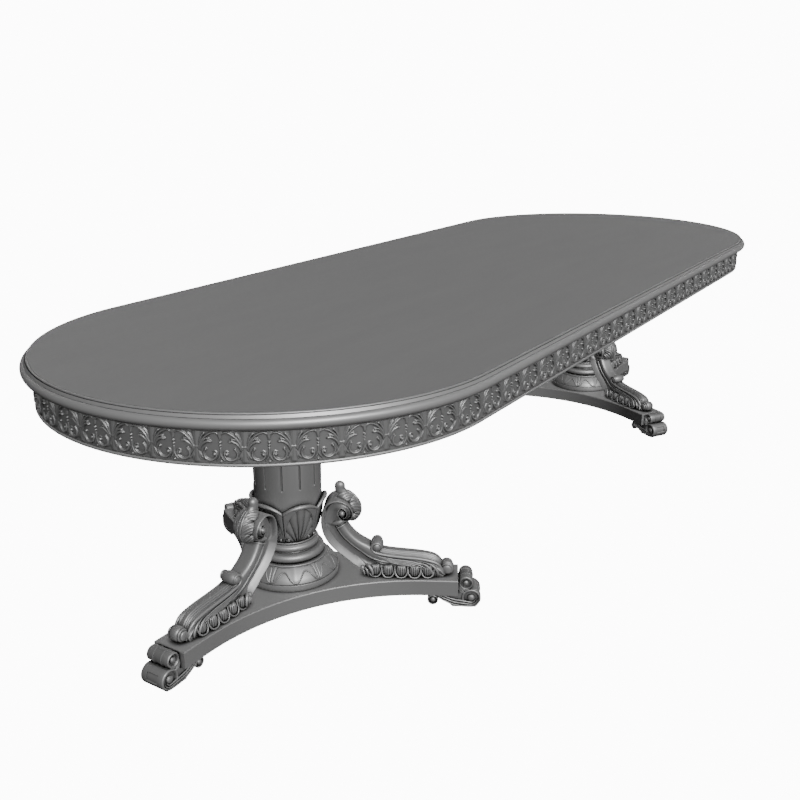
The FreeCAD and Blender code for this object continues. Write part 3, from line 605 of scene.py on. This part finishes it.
def make_shaft():
    # narrow flutes with round ends
    step = 360 / FLUTES
    half_groove = 1.9
    groove = np.linspace(-half_groove, half_groove, 11)
    land = np.linspace(half_groove, step - half_groove, 9)[1:-1]
    angles = np.concatenate([np.concatenate([groove, land]) + step * index for index in range(FLUTES)])
    levels = np.concatenate([
        (SHAFT_FOOT, 330.0, 350.0), np.linspace(FLUTE_FOOT - 4.5, FLUTE_FOOT + 3.0, 9),
        (372.0, 400.0, 460.0, 520.0, 580.0, 640.0),
        np.linspace(FLUTE_TOP - 1.0, FLUTE_TOP + 5.0, 5), (SHAFT_TOP,)])[:, None]
    radius = np.interp(levels, (SHAFT_FOOT, 330.0, 400.0), (90.6, 90.8, SHAFT_RADIUS))
    beyond = np.clip(FLUTE_FOOT - levels, 0, None) + np.clip(levels - FLUTE_TOP, 0, None)
    off = np.radians(np.abs((angles + step / 2) % step - step / 2))[None, :] * SHAFT_RADIUS
    sunk = np.sqrt(np.clip(FLUTE_RADIUS ** 2 - off ** 2 - beyond ** 2, 0, None))
    pedestal_copies("column_shaft", [shell(round_rings(radius - sunk, levels, angles))], sharp=50)


def cup_beads():
    # two small beads at the foot of each seam between leaves
    beads = []
    reach, up = 76.0, 211.0
    for index in range(CUP_LEAVES):
        for hand in (-1, 1):
            spot = math.radians(30 + 60 * index + hand * 8.0)
            beads.append(ball((reach * math.cos(spot), reach * math.sin(spot), up), (3.2, 3.2, 4.2), 12, 16))
    return beads


def make_cup():
    # shell leaves, each a ribbed hollow under an arch, with a rolled and scalloped lip
    sides, rows = 864, 72
    half = 180 / CUP_LEAVES
    angles = np.linspace(0, 360, sides, endpoint=False)
    off = (((angles + half) % (2 * half) - half) / half)[None, :]
    far = np.abs(off)
    t = np.linspace(0, 1, rows)[:, None]
    lip_up = CUP_TOP + 1 - 21 * far ** 2.2
    height = TURNING_TOP + (lip_up - 9 - TURNING_TOP) * t
    body = np.interp(
        height, (TURNING_TOP, 206, 215, 233, 255, 280, 300, CUP_TOP), (66, 71, 77, 85, 91.5, 97, 100, 101))
    arch = 0.93 * dome(np.clip(t - 0.3, 0, None), 0.68)
    inside = ramp_up((arch - far) / 0.04) * ramp_up(t / 0.04)
    fan = np.arctan2(off * 0.7, t + 0.2)
    rib = np.abs(np.cos(fan * 10)) ** 0.7
    sunk = inside * (4.2 + 4.5 * t - 4.6 * rib)
    seam = 3.2 * ridge(1 - far, 0.028)
    roll = np.radians(np.linspace(-80, 185, 14))[:, None]
    lip_radius = 6.2 - 1.8 * far
    lip_reach = 100.5 + 6.0 * (1 - far ** 2)
    roll_reach = lip_reach - lip_radius + lip_radius * np.cos(roll) - 0.6 * seam
    roll_up = lip_up - lip_radius + lip_radius * np.sin(roll)
    reach = np.concatenate([body - sunk - seam, roll_reach, np.full((1, sides), 90.4)])
    height = np.concatenate([height, roll_up, lip_up - 8])
    pedestal_copies("leaf_cup", [shell(round_rings(reach, height, angles))] + cup_beads(), sharp=60)


def make_turning():
    # two rounded rings and a fillet, from the foot up
    profile = np.concatenate([
        ((STACK_CORE, RING_TOP), (86.0, RING_TOP), (88.0, 148.2)),
        arc((82.5, 158.5), 11.6, -52, 70, 15),
        ((83.0, 169.9), (79.4, 171.4), (76.0, 172.6), (75.2, 174.0)),
        arc((71.0, 182.6), 9.4, -58, 66, 13),
        ((73.6, 192.6), (71.6, 193.6), (71.4, 195.0)),
        arc((70.2, 197.4), 2.4, -50, 90, 7),
        ((STACK_CORE, TURNING_TOP),),
    ])
    pedestal_copies("base_turning", [lathe(profile, 128)], sharp=40)


def make_leaf_ring():
    # leaves that point down and out, with raised rims, a fold on every other one and plain ground between
    outline = smooth((
        (129.5, DISC_TOP), (129.2, 107.5), (124.5, 117.0), (117.0, 126.5), (108.0, 135.5),
        (101.5, 141.0)), 76)
    top = np.array((
        (102.6, 142.4), (101.4, 143.2), (100.4, 143.2), (101.0, 144.6), (100.2, 146.4), (98.0, RING_TOP),
        (STACK_CORE, RING_TOP)))
    sides = 1080
    half = 180 / RING_LEAVES
    angles = np.linspace(0, 360, sides, endpoint=False)
    off = ((angles % (2 * half) - half) / half)[None, :]
    far = np.abs(off)
    folded = ((np.floor(angles / (2 * half)) + 1) % 2)[None, :]
    t = np.linspace(0, 1, len(outline))[:, None]
    length = np.linalg.norm(np.diff(outline, axis=0), axis=1).sum()
    width = math.radians(half) * outline[:, :1]
    edge = 0.07 + 0.64 * (0.5 - 0.5 * np.cos(math.pi * far)) ** 1.25
    steep = np.gradient(edge[0], off[0, 1] - off[0, 0])[None, :] * length / width
    gap = (t - edge) * length / np.sqrt(1 + steep ** 2)
    leaf = ramp_up(gap / 0.7 + 0.5)
    rim = ridge(gap - 1.7, 1.0)
    across = far * width
    strip = 2.2 + 3.0 * t
    fold = 0.5 + 0.5 * np.tanh((strip - across) / 0.9) - 0.8 * ridge(across - strip - 1.4, 1.1)
    fold = folded * fold * ramp_up((gap - 3.0) / 2.0)
    swell = (1 - folded) * ridge(across, 9.0) * ramp_up(gap / 6.0)
    lift = leaf * (1.4 + 1.5 * rim + 1.5 * fold + 1.3 * swell) - 1.0
    outward = right_hand(outline)
    reach = outline[:, :1] + lift * outward[:, :1]
    up = np.clip(outline[:, 1:] + lift * outward[:, 1:], DISC_TOP, None)
    reach = np.concatenate([np.full((1, sides), STACK_CORE), reach, np.repeat(top[:, :1], sides, 1)])
    up = np.concatenate([np.full((1, sides), DISC_TOP), up, np.repeat(top[:, 1:], sides, 1)])
    pedestal_copies("leaf_ring", [shell(round_rings(reach, up, angles))], sharp=60)


def make_disc():
    inner, edge = 100.0, 132.0
    profile = np.concatenate([
        ((inner, PLATFORM_TOP), (edge - 0.8, PLATFORM_TOP), (edge, PLATFORM_TOP + 0.8)),
        arc((edge - 1.2, DISC_TOP - 1.4), 1.2, 0, 90, 4),
        ((inner, DISC_TOP - 0.1),),
    ])
    pedestal_copies("plinth_disc", [lathe(profile, 160)], sharp=40)


def platform_outline(inset, level):
    # three arms joined by hollow sides, drawn inset for the softened edges
    half, reach = ARM_HALF - inset, ARM_REACH - inset
    arm = np.array(((ARM_ROOT, -half), (reach, -half), (reach, half), (ARM_ROOT, half)))
    hollow = arc((HOLLOW_OUT, 0.0), HOLLOW_RADIUS + inset, 209.0, 151.0, 41)
    rows = []
    for turn in ARM_TURNS:
        rows.append(turned(np.insert(arm, 2, level, axis=1), turn))
        rows.append(turned(np.insert(hollow, 2, level, axis=1), turn + 60))
    return np.concatenate(rows)


def make_platform():
    # how far the outline is drawn in at each level
    insets = (
        (1.0, PLATFORM_FOOT), (0.0, PLATFORM_FOOT + 1.0), (0.0, PLATFORM_TOP - 2.0), (2.0, PLATFORM_TOP))
    rings = np.array([platform_outline(inset, level) for inset, level in insets])
    pedestal_copies("platform", [shell(rings)], sharp=25)


# Scroll bracket, drawn on the arm that points along the first axis, as (out, up from the platform)
BRACKET_BACK = (
    (423, 0), (412, 0), (392, 0), (352, 0), (306, 0), (264, 0), (230, 0), (207, 5), (190, 26), (172, 41),
    (150, 60), (128, 79), (110, 101), (99, 123), (93, 147), (92, 169), (96, 193), (104, 209), (118, 221),
    (138, 226.5), (158, 221), (172, 208), (179, 191), (177, 176), (167.5, 167.5), (154, 166.5),
    (143.5, 172.5), (138, 183), (138.5, 193), (143, 199.5), (150.5, 201), (158, 197))
BRACKET_FRONT = (
    (426, 12), (417, 30), (400, 44), (364, 54), (313, 58.5), (270, 62), (244, 74), (223, 88), (207, 96.5),
    (195, 104), (181, 116), (170, 129), (162, 141), (156, 151), (147, 166), (139, 178), (137.5, 188),
    (139, 196), (143.5, 200.5), (150.5, 202), (157.5, 199), (162, 192.5), (162, 185), (159, 179),
    (155, 176.5), (151, 177), (148.5, 180.5), (147.5, 185), (148, 188), (149, 189.5), (150.5, 189.5),
    (152, 188.5))
# Places where one stretch turns into the next; the front roll reaches further down than the back band
BAND_STOP, BAND_START = 6.0, 8.2
ROLL_STOP, ROLL_START = 4.2, 6.4
BODY_STOP, VOLUTE_START = 13.35, 14.1
# Half sections of the three stretches, corner by corner, as (share of the way to the front, half width)
ARM_SECTION = (
    (0, 27), (0.02, 28), (0.05, 28), (0.08, 28), (0.3, 28), (0.34, 27.5), (0.38, 27.5), (0.44, 28),
    (0.5, 28.5), (0.55, 29), (0.59, 29.5), (0.62, 29.5), (0.65, 29.5), (0.68, 29), (0.7, 28.5), (0.72, 28))
BODY_SECTION = (
    (0, 30.5), (0.012, 31.8), (0.04, 32), (0.06, 31), (0.26, 19), (0.275, 17.2), (0.3, 17), (0.42, 18),
    (0.52, 20.5), (0.56, 22), (0.575, 18.5), (0.595, 18.5), (0.612, 25), (0.635, 28.2), (0.66, 28.2),
    (0.68, 25.5))
VOLUTE_SECTION = (
    (0, 29.5), (0.03, 31.2), (0.08, 32), (0.125, 31.6), (0.16, 30), (0.175, 27.5), (0.19, 20.5),
    (0.24, 18.6), (0.34, 17.6), (0.46, 17.2), (0.58, 17.6), (0.7, 18.6), (0.8, 20), (0.89, 21.8),
    (0.96, 23.2), (0.99, 23.6))
ROLL_POINTS = 26


def roll_profile(start, half, power):
    # from the side at 'start' round to the crest at 1
    turn = np.linspace(0, math.pi / 2, ROLL_POINTS + 1)[1:]
    along = start + (1 - start) * np.sin(turn) ** (2 / power)
    side = half * ramp_up(np.cos(turn)) ** (2 / power)
    return np.stack([along, side], 1)


def half_section(corners, front):
    # the corners with one point between each pair, followed by the front
    corners = np.asarray(corners, float)
    rows = np.empty((2 * len(corners) - 1, 2))
    rows[0::2] = corners
    rows[1::2] = (corners[1:] + corners[:-1]) / 2
    return np.concatenate([rows, front])


def bracket_spot(place, share, side):
    # a point of the bracket at a place along it, a share of the way from back to front
    low = smooth_at(BRACKET_BACK, [place])[0]
    high = smooth_at(BRACKET_FRONT, [place])[0]
    out, up = low + share * (high - low)
    return out, side, up + PLATFORM_TOP


def volute_width(place, share, half, at_roll, volute):
    # half widths with the channel of the volute: a groove inside its rim, and ground that rises to the eye
    groove = np.interp(place, (15.5, 17.5, 24.0, 26.0), (0, 8, 8, 0)) * ridge(share - 0.235, 0.04)
    swell = np.interp(place, (16.0, 19.0, 22.0, 25.0, 28.0), (0, 0.2, 0.4, 0.4, 0))
    half = half * (1 + volute * swell * ramp_up((share - 0.26) / 0.1)) - volute * groove
    flare = np.interp(place, (7.0, 10.0, 14.0, 18.0), (0.0, 0.04, 0.2, 0.28))
    widest = np.interp(place, (23.0, 28.0, 31.0), (41.0, 34.0, 29.0))
    return np.clip(half * (1 + flare * np.clip(1 - at_roll, volute, 1)), None, widest)


def bracket_body():
    arm = half_section(ARM_SECTION, roll_profile(0.74, 27.5, 2.6))
    body = half_section(BODY_SECTION, roll_profile(0.69, 26.5, 4.2))
    inner_face = np.stack([np.ones(ROLL_POINTS), np.linspace(VOLUTE_SECTION[-1][1], 0, ROLL_POINTS)], 1)
    volute = half_section(VOLUTE_SECTION, inner_face)
    places = np.linspace(0, len(BRACKET_BACK) - 1, 250)
    back, front = smooth_at(BRACKET_BACK, places), smooth_at(BRACKET_FRONT, places)
    at_roll = ramp_up((body[:, :1] - 0.3) / 0.2)
    stop = BAND_STOP + (ROLL_STOP - BAND_STOP) * at_roll
    start = BAND_START + (ROLL_START - BAND_START) * at_roll
    to_volute = ramp_up((places - BODY_STOP) / (VOLUTE_START - BODY_STOP))
    rings = []
    for place, low, high, second in zip(places, back, front, to_volute):
        first = ramp_up((place - stop) / (start - stop))
        section = (arm * (1 - first) + body * first) * (1 - second) + volute * second
        share, half = section[:, 0], section[:, 1]
        spots = low + share[:, None] * (high - low)
        side = volute_width(place, share, half, at_roll[:, 0], second)
        near = np.stack([spots[:, 0], side, spots[:, 1] + PLATFORM_TOP], 1)
        rings.append(np.concatenate([near, near[-2::-1] * (1, -1, 1)]))
    return shell(np.array(rings))


def bracket_leaf():
    # an acanthus leaf with a midrib and fingered lobes that climbs over the volute
    count, width = 130, 81
    lobes = 3.4
    base = smooth_at(BRACKET_BACK, np.linspace(24.6, 18.75, count))
    outward = right_hand(base)
    s = np.linspace(0, 1, count)[:, None]
    q = np.linspace(-1, 1, width)[None, :]
    far = np.abs(q)
    thick = np.interp(s, (0, 0.1, 0.35, 0.6, 0.8, 1), (10, 16, 21, 21, 20, 19))
    half = np.interp(s, (0, 0.08, 0.3, 0.6, 0.85, 1), (18, 25, 32, 31, 24, 13))
    lobe_phase = lobes * s - 0.5 * far + 0.12
    finger_phase = 4 * lobe_phase - 0.6 * far
    lobe = np.abs(np.sin(math.pi * lobe_phase)) ** 0.4
    finger = np.abs(np.cos(math.pi * finger_phase))
    notch = 1 - np.abs(np.sin(math.pi * (lobes * s - 0.38))) ** 0.4
    side = q * half * (1 - 0.3 * notch)
    beside = ramp_up((far - 0.16) / 0.14)
    rise = thick * (1 - 0.68 * far ** 2.6)
    rise = rise - 7.0 * beside * (1 - lobe) * ramp_up(far * 1.5)
    rise = rise - 3.0 * beside * (1 - finger) * ramp_up(far * 1.6)
    rise = np.clip(rise - 3.0 * ridge(far - 0.17, 0.045), 1.0, None)
    spots = base[:, None, :] + rise[..., None] * outward[:, None, :]
    front = np.stack([spots[..., 0], side, spots[..., 1] + PLATFORM_TOP], -1)
    under = np.repeat((base - 4 * outward)[:, None, :], width, 1)
    behind = np.stack([under[..., 0], side * 0.96, under[..., 1] + PLATFORM_TOP], -1)
    return shell(np.concatenate([front, behind[:, ::-1, :]], 1))


def leaf_stalk():
    # the stalk of the leaf, a blunt knob that stands up over the volute
    tip = (141.4, 0, 341)
    knob = ball(tip, (14.2, 12.2, 13.6), 22, 32)
    path = ((172, 0, 304), (160, 0, 313), (149, 0, 321), (142.4, 0, 330), tip)
    points, quads, polygons = tube(path, (6, 11, 13.6, 14.2, 14.1), 32, 32)
    return [knob, (points * (1, 0.86, 1), quads, polygons)]


def bracket_cups():
    # ribbed cups with raised rims along the foot of a cheek
    shells = []
    turns = np.linspace(0, 2 * math.pi, 104, endpoint=False)[None, :]
    ribs = 1 - 0.17 * (1 - np.abs(np.cos(6.5 * (turns - math.pi / 2))) ** 0.7)
    lift = np.radians(np.linspace(-82, 82, 17))[:, None]
    reach = np.cos(lift) ** 0.6 * ribs
    half_rim = np.array(((18, 1, 34), (17.4, 5, 24), (15.4, 9.4, 12.6), (9.2, 12.8, 4.6)))
    rim = np.concatenate([half_rim * (-1, 1, 1), ((0, 14, 2.6),), half_rim[::-1]])
    for index in range(5):
        out = 237.0 + 36.0 * index
        side = 29.0 - (index - 2) ** 2
        shells.append(shell(np.stack([
            out + 15.6 * reach * np.cos(turns), side + 13.2 * reach * np.sin(turns),
            PLATFORM_TOP + 18 + 17.0 * np.sin(lift) * np.ones_like(turns)], -1)))
        shells.append(tube(rim + (out, side, PLATFORM_TOP), (1.4, 2.1, 2.5, 2.6, 2.5, 2.1, 1.4), 36, 12))
    return shells


def inner_plume():
    # three short strands that fall from a knot at the inner end of the row of cups
    knot = ball((202, 26, 108), (8.0, 7.5, 8.5))
    long = tube(((211, 28, 118), (219, 34, 119), (227, 38.5, 111), (231, 40.5, 100), (230, 40, 90)),
                (2.0, 4.4, 4.8, 4.0, 1.8), 24, 12)
    middle = tube(((206, 28, 112), (212, 33.5, 110), (217, 36.5, 102), (219, 36.5, 90)),
                  (2.0, 3.6, 3.8, 1.8), 20, 12)
    short = tube(((202, 27, 106), (205, 31.5, 104), (208, 33.5, 97), (209, 33, 88)),
                 (1.8, 3.0, 3.2, 1.6), 18, 12)
    return [long, middle, short, knot]


def outer_plumes():
    # strands that leave the tongue's rim and fall to the platform, fanned at their ends
    shells = []
    for index in range(4):
        drop, back = 3.9 * index, 9.0 * index
        path = (
            (246 + 5 * index, 28.0, 144 - drop * 0.6), (290, 29.0, 137 - drop),
            (338 - back * 0.3, 29.5, 131 - drop), (374 - back * 0.7, 30.0, 121 - drop),
            (398 - back, 30.0, 105 - drop * 0.5))
        shells.append(tube(path, (1.6, 2.4, 2.6, 2.6, 1.2), 40, 10))
    for out, side in ((409, 29.5), (394, 32.5)):
        path = (
            (out - 36, side - 3, 129), (out - 16, side - 1, 121), (out - 4, side, 108), (out, side, 96),
            (out - 2, side - 1, 87))
        shells.append(tube(path, (1.4, 3.0, 4.2, 4.4, 1.8), 30, 12))
    return shells


def tongue():
    # the reeded tongue and the roll that ends it
    path = smooth((
        (427, 8), (423, 27), (413, 45), (397, 56.5), (372, 62.5), (330, 66), (290, 69), (262, 72),
        (244, 77)), 70)
    half, thick = 23.0, 24.0
    side = np.linspace(-half, half, 117)
    far = np.abs(side)
    height = -11.0 * (far / half) ** 2.6
    for groove, depth in ((8.0, 2.0), (13.5, 2.6), (18.5, 2.8)):
        height = height - depth * ridge(far - groove, 1.5)
    rings = []
    for spot, out in zip(path, right_hand(path)):
        top = spot + height[:, None] * out
        low = spot - thick * out
        upper = np.stack([top[:, 0], side, np.clip(top[:, 1], 1, None) + PLATFORM_TOP], 1)
        level = max(low[1], 1.0) + PLATFORM_TOP
        lower = np.array(((low[0], half - 1, level), (low[0], 1 - half, level)))
        rings.append(np.concatenate([upper, lower]))
    across = np.linspace(-1, 1, 37)
    barrel = np.stack([across * 29, 0.6 + 17.6 * ramp_up(1 - np.abs(across) ** 2.5) ** 0.5], 1)
    return [shell(np.array(rings)), cross_lathe(barrel, 240.5, 83 + PLATFORM_TOP, 48)]


def tongue_rim():
    # the rim under the tongue's edge, which curls round the end of the roll
    path = (
        (427, 20, 90), (420, 22, 107), (407, 23.5, 123), (389, 24, 131.5), (355, 24, 137.5),
        (310, 24, 141.5), (276, 24, 145), (252, 24, 149.5), (236, 24, 154), (227.5, 24, 164), (230, 24, 176),
        (240.5, 23.5, 181.5), (250, 23, 177), (252.5, 22, 168.5), (247, 21, 163.5))
    return [tube(path, (3.4, 4.2, 4.8, 5, 5, 5, 5, 5, 4.8, 4.6, 4.4, 4, 3.6, 3.2, 2.4), 130, 14)]


def toe_roll():
    # the ringed roll at the toe of the bracket; rows of its half profile are (sideways, radius)
    half = np.array((
        (0, 19.8), (6, 19.5), (10, 18.2), (12.2, 16.2), (13, 13), (14, 12.6), (14.4, 16.6), (15.2, 17.4),
        (17.6, 17.2), (18.8, 15.8), (19.2, 11.8), (20, 11.4), (20.4, 12.8), (22.6, 12.4), (24.2, 10.4),
        (24.6, 1)))
    profile = np.concatenate([half[:0:-1] * (-1, 1), half])
    return cross_lathe(profile, 433, 20 + PLATFORM_TOP, 48)


def volute_core():
    # the core that joins the eyes of the volute
    return cross_lathe(np.array(((-22, 12.5), (22, 12.5))), 149, 187 + PLATFORM_TOP, 28)


def bracket_throat():
    # the bead that closes the top of the front roll, and the lip above it
    bead = [bracket_spot(13.0, share, side) for share, side in (
        (0.62, 27), (0.655, 28.6), (0.72, 28.4), (0.86, 27), (0.97, 21), (1.02, 11), (1.03, 0))]
    lip = [bracket_spot(13.65, share, side) for share, side in (
        (0.28, 13), (0.45, 17), (0.64, 22), (0.84, 23.5), (0.99, 18), (1.05, 9), (1.06, 0))]
    return [
        tube(bead, (1.8, 2.2, 2.2, 2.2, 2.2, 2.2, 2.2), 40, 12),
        tube(lip, (2.0, 4.4, 6.4, 7.6, 8.2, 8.4, 8.4), 40, 18)]


def make_bracket():
    eye = ball((149.5, 28, 187 + PLATFORM_TOP), (10.4, 14.5, 10.4), 20, 30)
    shells = [bracket_body(), bracket_leaf()] + leaf_stalk() + tongue() + [toe_roll(), volute_core()]
    cheek = [eye] + tongue_rim() + bracket_throat() + bracket_cups() + inner_plume() + outer_plumes()
    arm_copies("bracket", shells + both_sides(cheek), sharp=55)


# Scroll foot under the end of an arm; its rolls are (out, up, radius, half width)
UPPER_ROLL = (486.0, 72.5, 19.5, 36.5)
LOWER_ROLL = (501.0, 27.2, 27.0, 37.5)
BACK_CURL = (396.0, 15.4, 15.0, 30.5)
FOOT_TOP = 40.2


def roll_end(half, radius):
    # one end of a roll, from its eye out to its side: a recess inside a rounded rim
    deep = half - 6.5
    return np.array((
        (deep, 1.0), (deep, radius * 0.66), (half - 3.0, radius * 0.74), (half - 1.0, radius * 0.79),
        (half, radius * 0.85), (half - 0.5, radius * 0.92), (half - 1.8, radius * 0.975),
        (half - 3.8, radius)))


def both_ends(one):
    # a roll's profile from end to end, from that of one end
    return np.concatenate([one * (-1, 1), one[::-1]])


def sunk_panel(radius, side, degrees):
    # a shallow rectangle on the front of the lower roll
    turn = np.abs((degrees - 14 + 180) % 360 - 180)
    inside = ramp_up((18 - np.abs(side)) / 0.5) * ramp_up((25 - turn) / 2.5)
    return radius - 2.4 * inside


def foot_rolls():
    out, up, radius, half = UPPER_ROLL
    ring = np.array(((14.4, 0), (13.9, 1.3), (12.5, 1.3), (12.0, 0))) + (0, radius)
    upper = cross_lathe(both_ends(np.concatenate([roll_end(half, radius), ring])), out, up, 56)
    out, up, radius, half = LOWER_ROLL
    middle = np.stack([np.linspace(22, 0, 45), np.full(45, radius)], 1)
    profile = np.concatenate([roll_end(half, radius), middle])
    profile = np.concatenate([profile * (-1, 1), profile[-2::-1]])
    lower = cross_lathe(profile, out, up, 144, sunk_panel)
    out, up, radius, half = BACK_CURL
    return [upper, lower, cross_lathe(both_ends(roll_end(half, radius)), out, up, 40)]


def foot_body():
    # the body behind the rolls, with softened edges on both sides
    outline = np.concatenate([
        ((476.0, 3.0), (488.0, 1.5), (484.0, 12.0), (480.0, 20.0), (479.5, 30.0), (483.0, 40.0)),
        ((490.0, 47.0), (498.0, 49.5), (493.0, 56.5), (478.0, 58.0), (471.5, 65.0), (470.0, 72.0)),
        ((466.0, 72.0), (466.0, FOOT_TOP), (409.0, FOOT_TOP), (408.0, 33.0)),
        smooth(((411.0, 27.5), (427.0, 18.5), (444.0, 9.5), (460.0, 4.5)), 8)])
    inwards = np.array((470.0, 36.0)) - outline
    inwards /= np.linalg.norm(inwards, axis=1)[:, None]
    rings = []
    for side, inset in ((-34.0, 1.5), (-32.5, 0.0), (32.5, 0.0), (34.0, 1.5)):
        shrunk = outline + inwards * inset
        shrunk[:, 1] = np.clip(shrunk[:, 1], 0, FOOT_TOP + 40 * (shrunk[:, 0] > 465))
        rings.append(np.insert(shrunk, 1, side, axis=1))
    return shell(np.array(rings))


def foot_blocks():
    # the flat sole under the lower roll, and the stem that carries the curl at the back
    sole = ((441.0, 9.0), (450.0, 0.4), (513.0, 0.4), (519.5, 6.6), (519.0, 13.0), (447.0, 13.0))
    stem = ((382.0, FOOT_TOP), (381.4, 16.0), (396.0, 10.0), (408.0, 22.0), (412.0, FOOT_TOP))
    return [slab(sole, 34.8), slab(stem, 23.5)]


def foot_strands():
    # strands that wind out of the lower roll and run back under the arm, and three that join the two rolls
    shells = []
    out, up, radius, _ = LOWER_ROLL
    for share in (0.0, 0.5, 1.0):
        path = [(a, 36.4, b) for a, b in arc((out, up), radius - 3.0 - 12.0 * share, -15, -90, 5)]
        path += [
            (478, 36.6, 4.2 + 15 * share), (454, 36.4, 7.5 + 15.5 * share), (431, 36, 17 + 14 * share),
            (408 + 4 * share, 34.6, 28.5 + 9 * share)]
        shells.append(tube(path, (1.1, 2.1, 2.5, 2.6, 2.6, 2.5, 2.2, 1.3), 60, 12))
    for inner in (0.0, 5.0, 10.0):
        path = (
            (467 + inner * 0.5, 33, 66 - inner * 0.4), (467 + inner, 34.5, 55 - inner * 0.5),
            (472 + inner, 35, 46 - inner * 0.2), (480 + inner * 0.7, 35, 42 + inner * 0.5))
        shells.append(tube(path, (1.9, 2.2, 2.1, 1.2), 24, 10))
    return shells


def foot_eyes():
    shells = []
    for out, up, radius, half in (UPPER_ROLL, LOWER_ROLL, BACK_CURL):
        eye = max(8.4, 2.2 + 0.32 * radius)
        shells.append(ball((out, half - 6.0, up), (eye, 7.0, eye), 16, 26))
    return shells


def make_foot():
    shells = foot_rolls() + [foot_body()] + foot_blocks() + both_sides(foot_strands() + foot_eyes())
    arm_copies("foot", shells, sharp=50)


make_panel()
make_mouldings()
make_beads()
make_carving()
make_shaft()
make_cup()
make_turning()
make_leaf_ring()
make_disc()
make_platform()
make_bracket()
make_foot()


# Floor, light and camera
def seen_white(tree, shader, kind):
    # adds white that only the camera sees, so the backdrop doesn't light the table
    seen = add_node(tree, "ShaderNodeLightPath", {}).outputs["Is Camera Ray"]
    white = add_node(tree, kind, {"Color": (1, 1, 1, 1), "Strength": BACKDROP})
    mixed = add_node(tree, "ShaderNodeMixShader", {"Fac": seen, 1: shader.outputs[0], 2: white.outputs[0]})
    last = [node for node in tree.nodes if node.type.startswith("OUTPUT")][0]
    feed(tree, last, {"Surface": mixed.outputs[0]})


def pale_floor():
    mesh = bpy.data.meshes.new("floor")
    corners = [(x * FLOOR_REACH, y * FLOOR_REACH, 0) for x, y in ((-1, -1), (1, -1), (1, 1), (-1, 1))]
    mesh.from_pydata(corners, [], [(0, 1, 2, 3)])
    floor = bpy.data.objects.new("floor", mesh)
    bpy.context.scene.collection.objects.link(floor)
    material, tree, shader = new_material("pale_floor")
    feed(tree, shader, {"Base Color": (0.02, 0.02, 0.02, 1), "Roughness": 0.9})
    seen_white(tree, shader, "ShaderNodeEmission")
    mesh.materials.append(material)


def looking_from(azimuth, lift):
    # the rotation of a lamp or a camera that looks at the table from this direction
    turn, up = math.radians(azimuth), math.radians(lift)
    source = Vector((math.sin(turn) * math.cos(up), -math.cos(turn) * math.cos(up), math.sin(up)))
    return source.to_track_quat("Z", "Y").to_euler()


def sun(name, strength, angle, azimuth, lift, glossy):
    # azimuth and lift say where the light comes from; only a glossy one is mirrored by the paint
    lamp = bpy.data.lights.new(name, "SUN")
    lamp.energy = strength
    lamp.angle = math.radians(angle)
    lamp.use_shadow = False
    thing = bpy.data.objects.new(name, lamp)
    thing.visible_glossy = glossy
    thing.rotation_euler = looking_from(azimuth, lift)
    bpy.context.scene.collection.objects.link(thing)


def studio():
    world = bpy.data.worlds.new("studio")
    world.use_nodes = True
    backdrop = world.node_tree.nodes["Background"]
    feed(world.node_tree, backdrop, {"Color": (1, 1, 1, 1), "Strength": AMBIENT})
    seen_white(world.node_tree, backdrop, "ShaderNodeBackground")
    bpy.context.scene.world = world
    sun("key_light", 8.0, 8, CAMERA_TURN + 26, 40, True)
    sun("right_back_light", 4.0, 30, CAMERA_TURN + 150, 15, False)
    sun("left_back_light", 2.8, 30, CAMERA_TURN - 150, 15, False)


def camera():
    lens = bpy.data.cameras.new("camera")
    lens.sensor_width = CAMERA_SENSOR
    lens.lens = CAMERA_LENS
    thing = bpy.data.objects.new("camera", lens)
    thing.location = CAMERA_PLACE
    thing.rotation_euler = looking_from(CAMERA_TURN, CAMERA_LIFT)
    bpy.context.scene.collection.objects.link(thing)
    bpy.context.scene.camera = thing


pale_floor()
studio()
camera()

bpy.context.view_layer.update()
